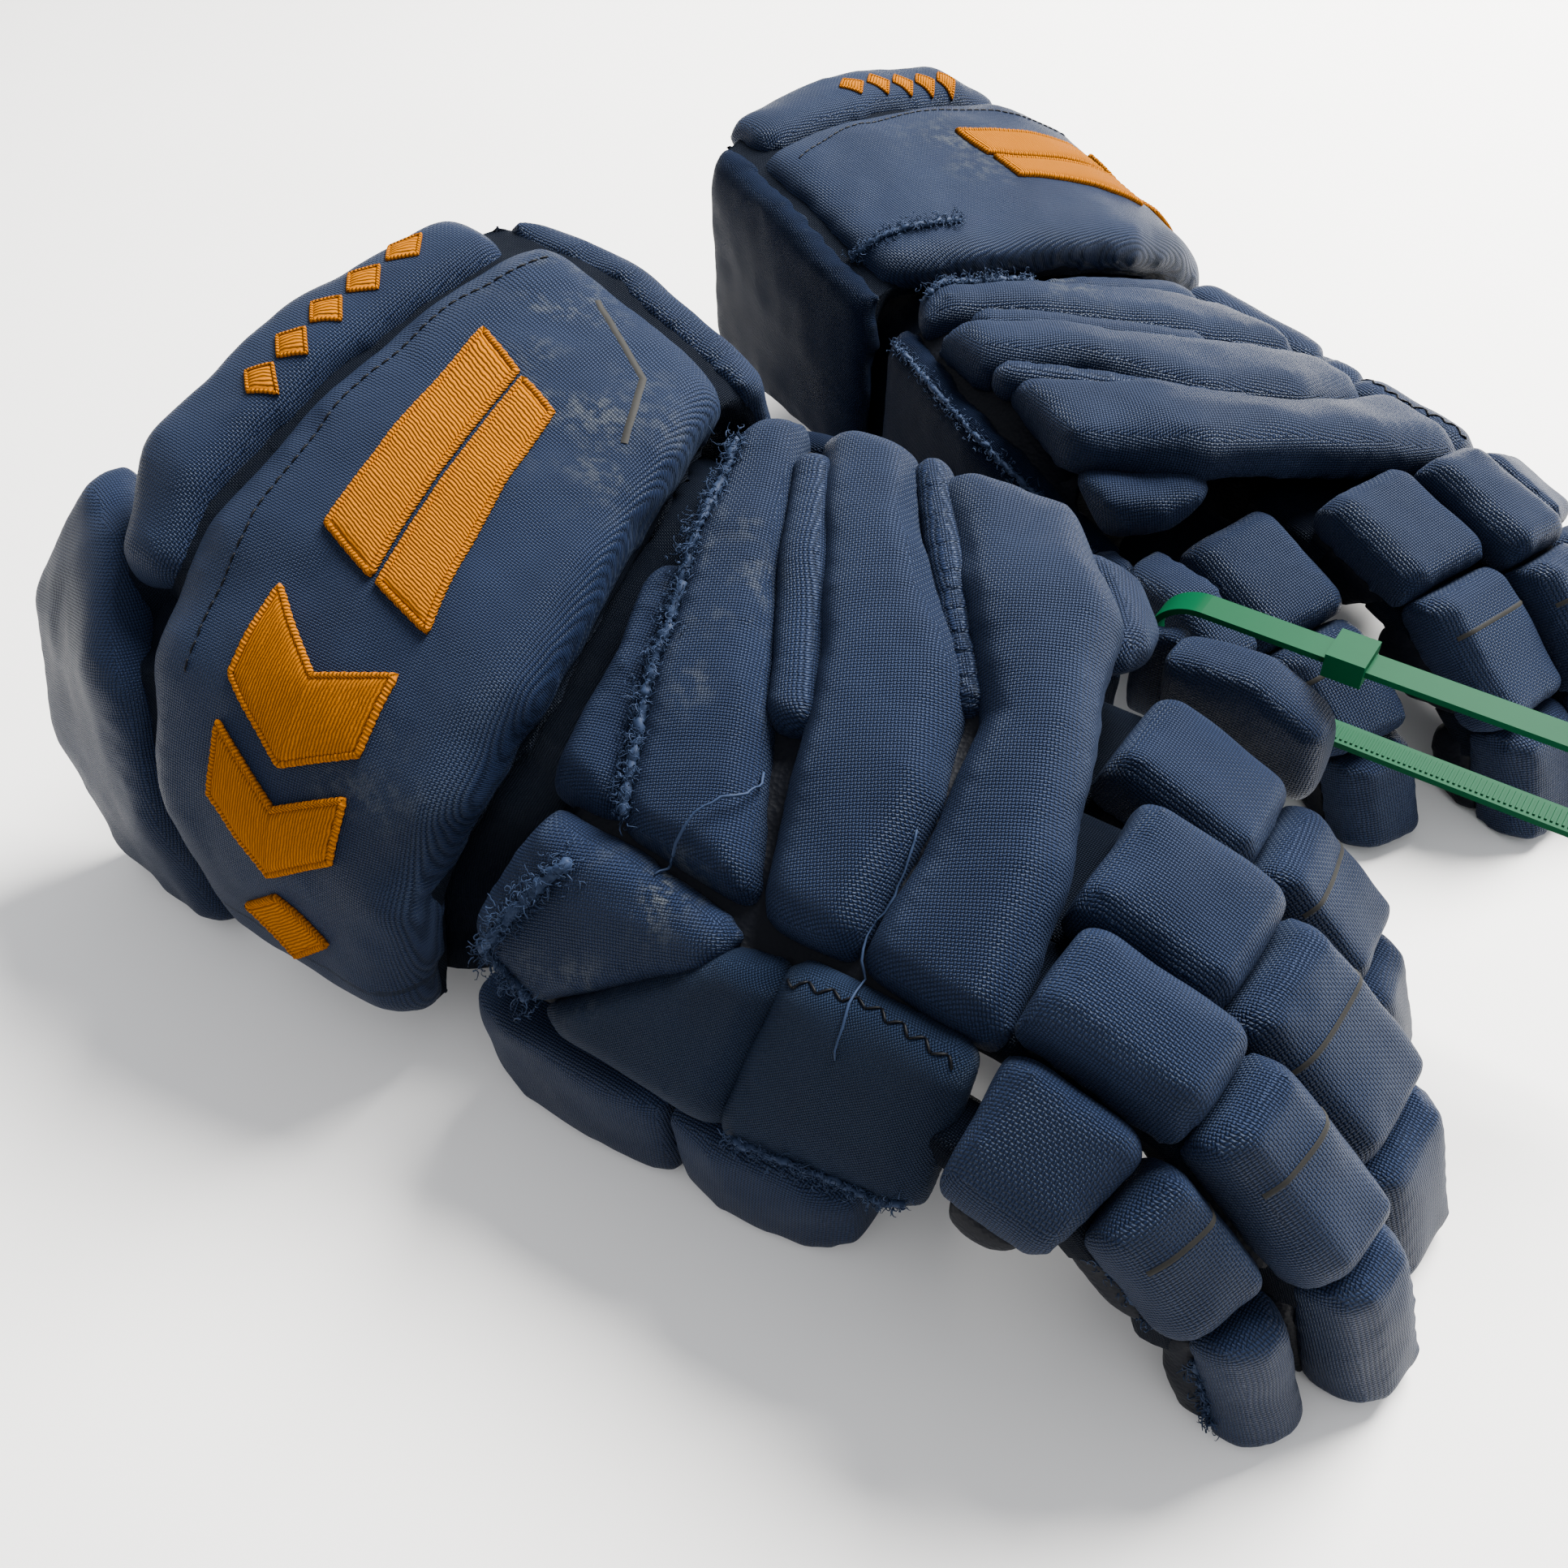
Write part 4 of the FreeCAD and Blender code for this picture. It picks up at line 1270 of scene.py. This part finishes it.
# Rows of stitches on each glove: name, body, pads, path, pitch in mm, share of
# the pitch that is thread, thread radius in mm and width of the zigzag in mm.
SEAMS = [
    ("side_seam", "hand", SIDE_PADS, [(80, -50, 72), (98, -47, 74), (119, -49, 74)],
     2.6, 0.9, 0.30, 0.9),
    ("cuff_seam", "cuff", ["cuff_roll_pad"],
     [(-77, -60, 88), (-80, -30, 112), (-82, 5, 124), (-78, 40, 132), (-70, 66, 134)],
     3.2, 0.72, 0.26, 0.0),
]

# Pulled threads on the left hand: name, ends, bow in mm and radius in mm.
LOOSE_THREADS = [
    ("left_loose_thread_a", (52, -16, 86), (43, -46, 74), 2.4, 0.32),
    ("left_loose_thread_b", (86, -14, 87), (97, -55, 66), 1.0, 0.26),
]
CUFF_STRIPE = [(-53, 63, 128), (-30, 50, 118), (-21, 31, 113)]


def trim(made):
    """Embroidery, worn edges, threads, seams and stripes."""
    def cover(side, pads):
        return Cover(side, [made[f"{side}_{pad}"] for pad in pads])

    for side in SIDES:
        embroidery(side, cover(side, ["cuff_roll_pad"]), cover(side, ["cuff_rear_flap_pad"]))
        for finger in FINGERS:
            finger_stripe(side, finger, cover(side, [finger + "_middle_pad"]))
        for short, body, pads, path, *thread in SEAMS:
            stitches(f"{side}_{short}", f"{side}_{body}", cover(side, pads), path, *thread)
    for side, short, body, pads, path, *fibres in FRAYS:
        fray(f"{side}_{short}", f"{side}_{body}", cover(side, pads), path, *fibres)
    hand = cover("left", ["roll_a_pad", "roll_b_pad", "roll_c_pad"] + SIDE_PADS)
    for name, *thread in LOOSE_THREADS:
        loose_thread(name, "left_hand", hand, *thread)
    tape("left_cuff_stripe", "left", "left_cuff", cover("left", ["cuff_roll_pad"]), CUFF_STRIPE, 2.2)


STRIPE_STATIONS = 22
STRIPE_OFFSETS = (-0.6, 0.0, 0.6)        # mm across the line
ABOVE_PAD = 60.0                         # mm over the pin, clear of the pad


def finger_stripe(side, finger, cover):
    """Thin grey line across the top of a middle finger pad."""
    name = f"{side}_{finger}_middle"
    along, across, up = (Vector(a) for a in finger_axes(side, finger, "middle"))
    centre, half = segment_middle(name, across)
    if up.dot(UP_AND_FORWARD) < 0:
        up = -up
    start = joint_point(name + "_curl").lerp(joint_point(f"{side}_{finger}_tip_curl"), 0.36)
    start += across * (centre - start.dot(across))
    work = Sewn()
    for i, share in enumerate(np.linspace(-0.86, 0.86, STRIPE_STATIONS)):
        far = start + across * share * half + up * ABOVE_PAD * MM
        for k, offset in enumerate(STRIPE_OFFSETS):
            origin = far + along * offset * MM
            point, normal = cover.tree.ray_cast(origin, -up)[:2]
            if point is None:
                point, normal = origin - up * ABOVE_PAD * MM, up
            work.points.append(point + normal * (0.25 if k == 1 else 0.05) * MM)
            work.uv.append((i, k))
    work.faces = grid(STRIPE_STATIONS, len(STRIPE_OFFSETS))
    work.piece(name + "_stripe", name, STRIPE)


TOOTH_COUNT = 88
TOOTH_PITCH = 1.25                       # mm
TOOTH_START = 108.0                      # layout x of the first tooth, mm
TOOTH_SIDES = (83.6, 88.4)               # layout y, mm
TOOTH_BASE = 56.6                        # layout z of the strap's face, mm


def tie_ribs():
    """Ratchet teeth along the lower run of the tie."""
    work = Sewn()
    near, far = TOOTH_SIDES
    for i in range(TOOTH_COUNT):
        x = TOOTH_START + i * TOOTH_PITCH
        corners = [(x, near), (x, far), (x + 0.55, far), (x + 0.55, near)]
        base = len(work.points)
        for lean, rise in ((0.0, 0.0), (0.1, 0.35)):
            for cx, cy in corners:
                work.points.append(place("left", cx + lean, cy, TOOTH_BASE + rise))
                work.uv.append((cx, cy))
        work.faces += grid(2, 4, base, ring=True)
        work.faces.append((base + 4, base + 5, base + 6, base + 7))
    obj = work.piece("cable_tie_teeth", "left_hand", GREEN)
    obj.data.polygons.foreach_set("use_smooth", [False] * len(obj.data.polygons))


camera()
room()
PIECES = soft_goods()
trim(PIECES)
tie_ribs()
for node in ("cable_tie_strap", "cable_tie_head"):
    frame["nodes"][node].data.materials.clear()
    frame["nodes"][node].data.materials.append(GREEN)
bpy.context.view_layer.update()
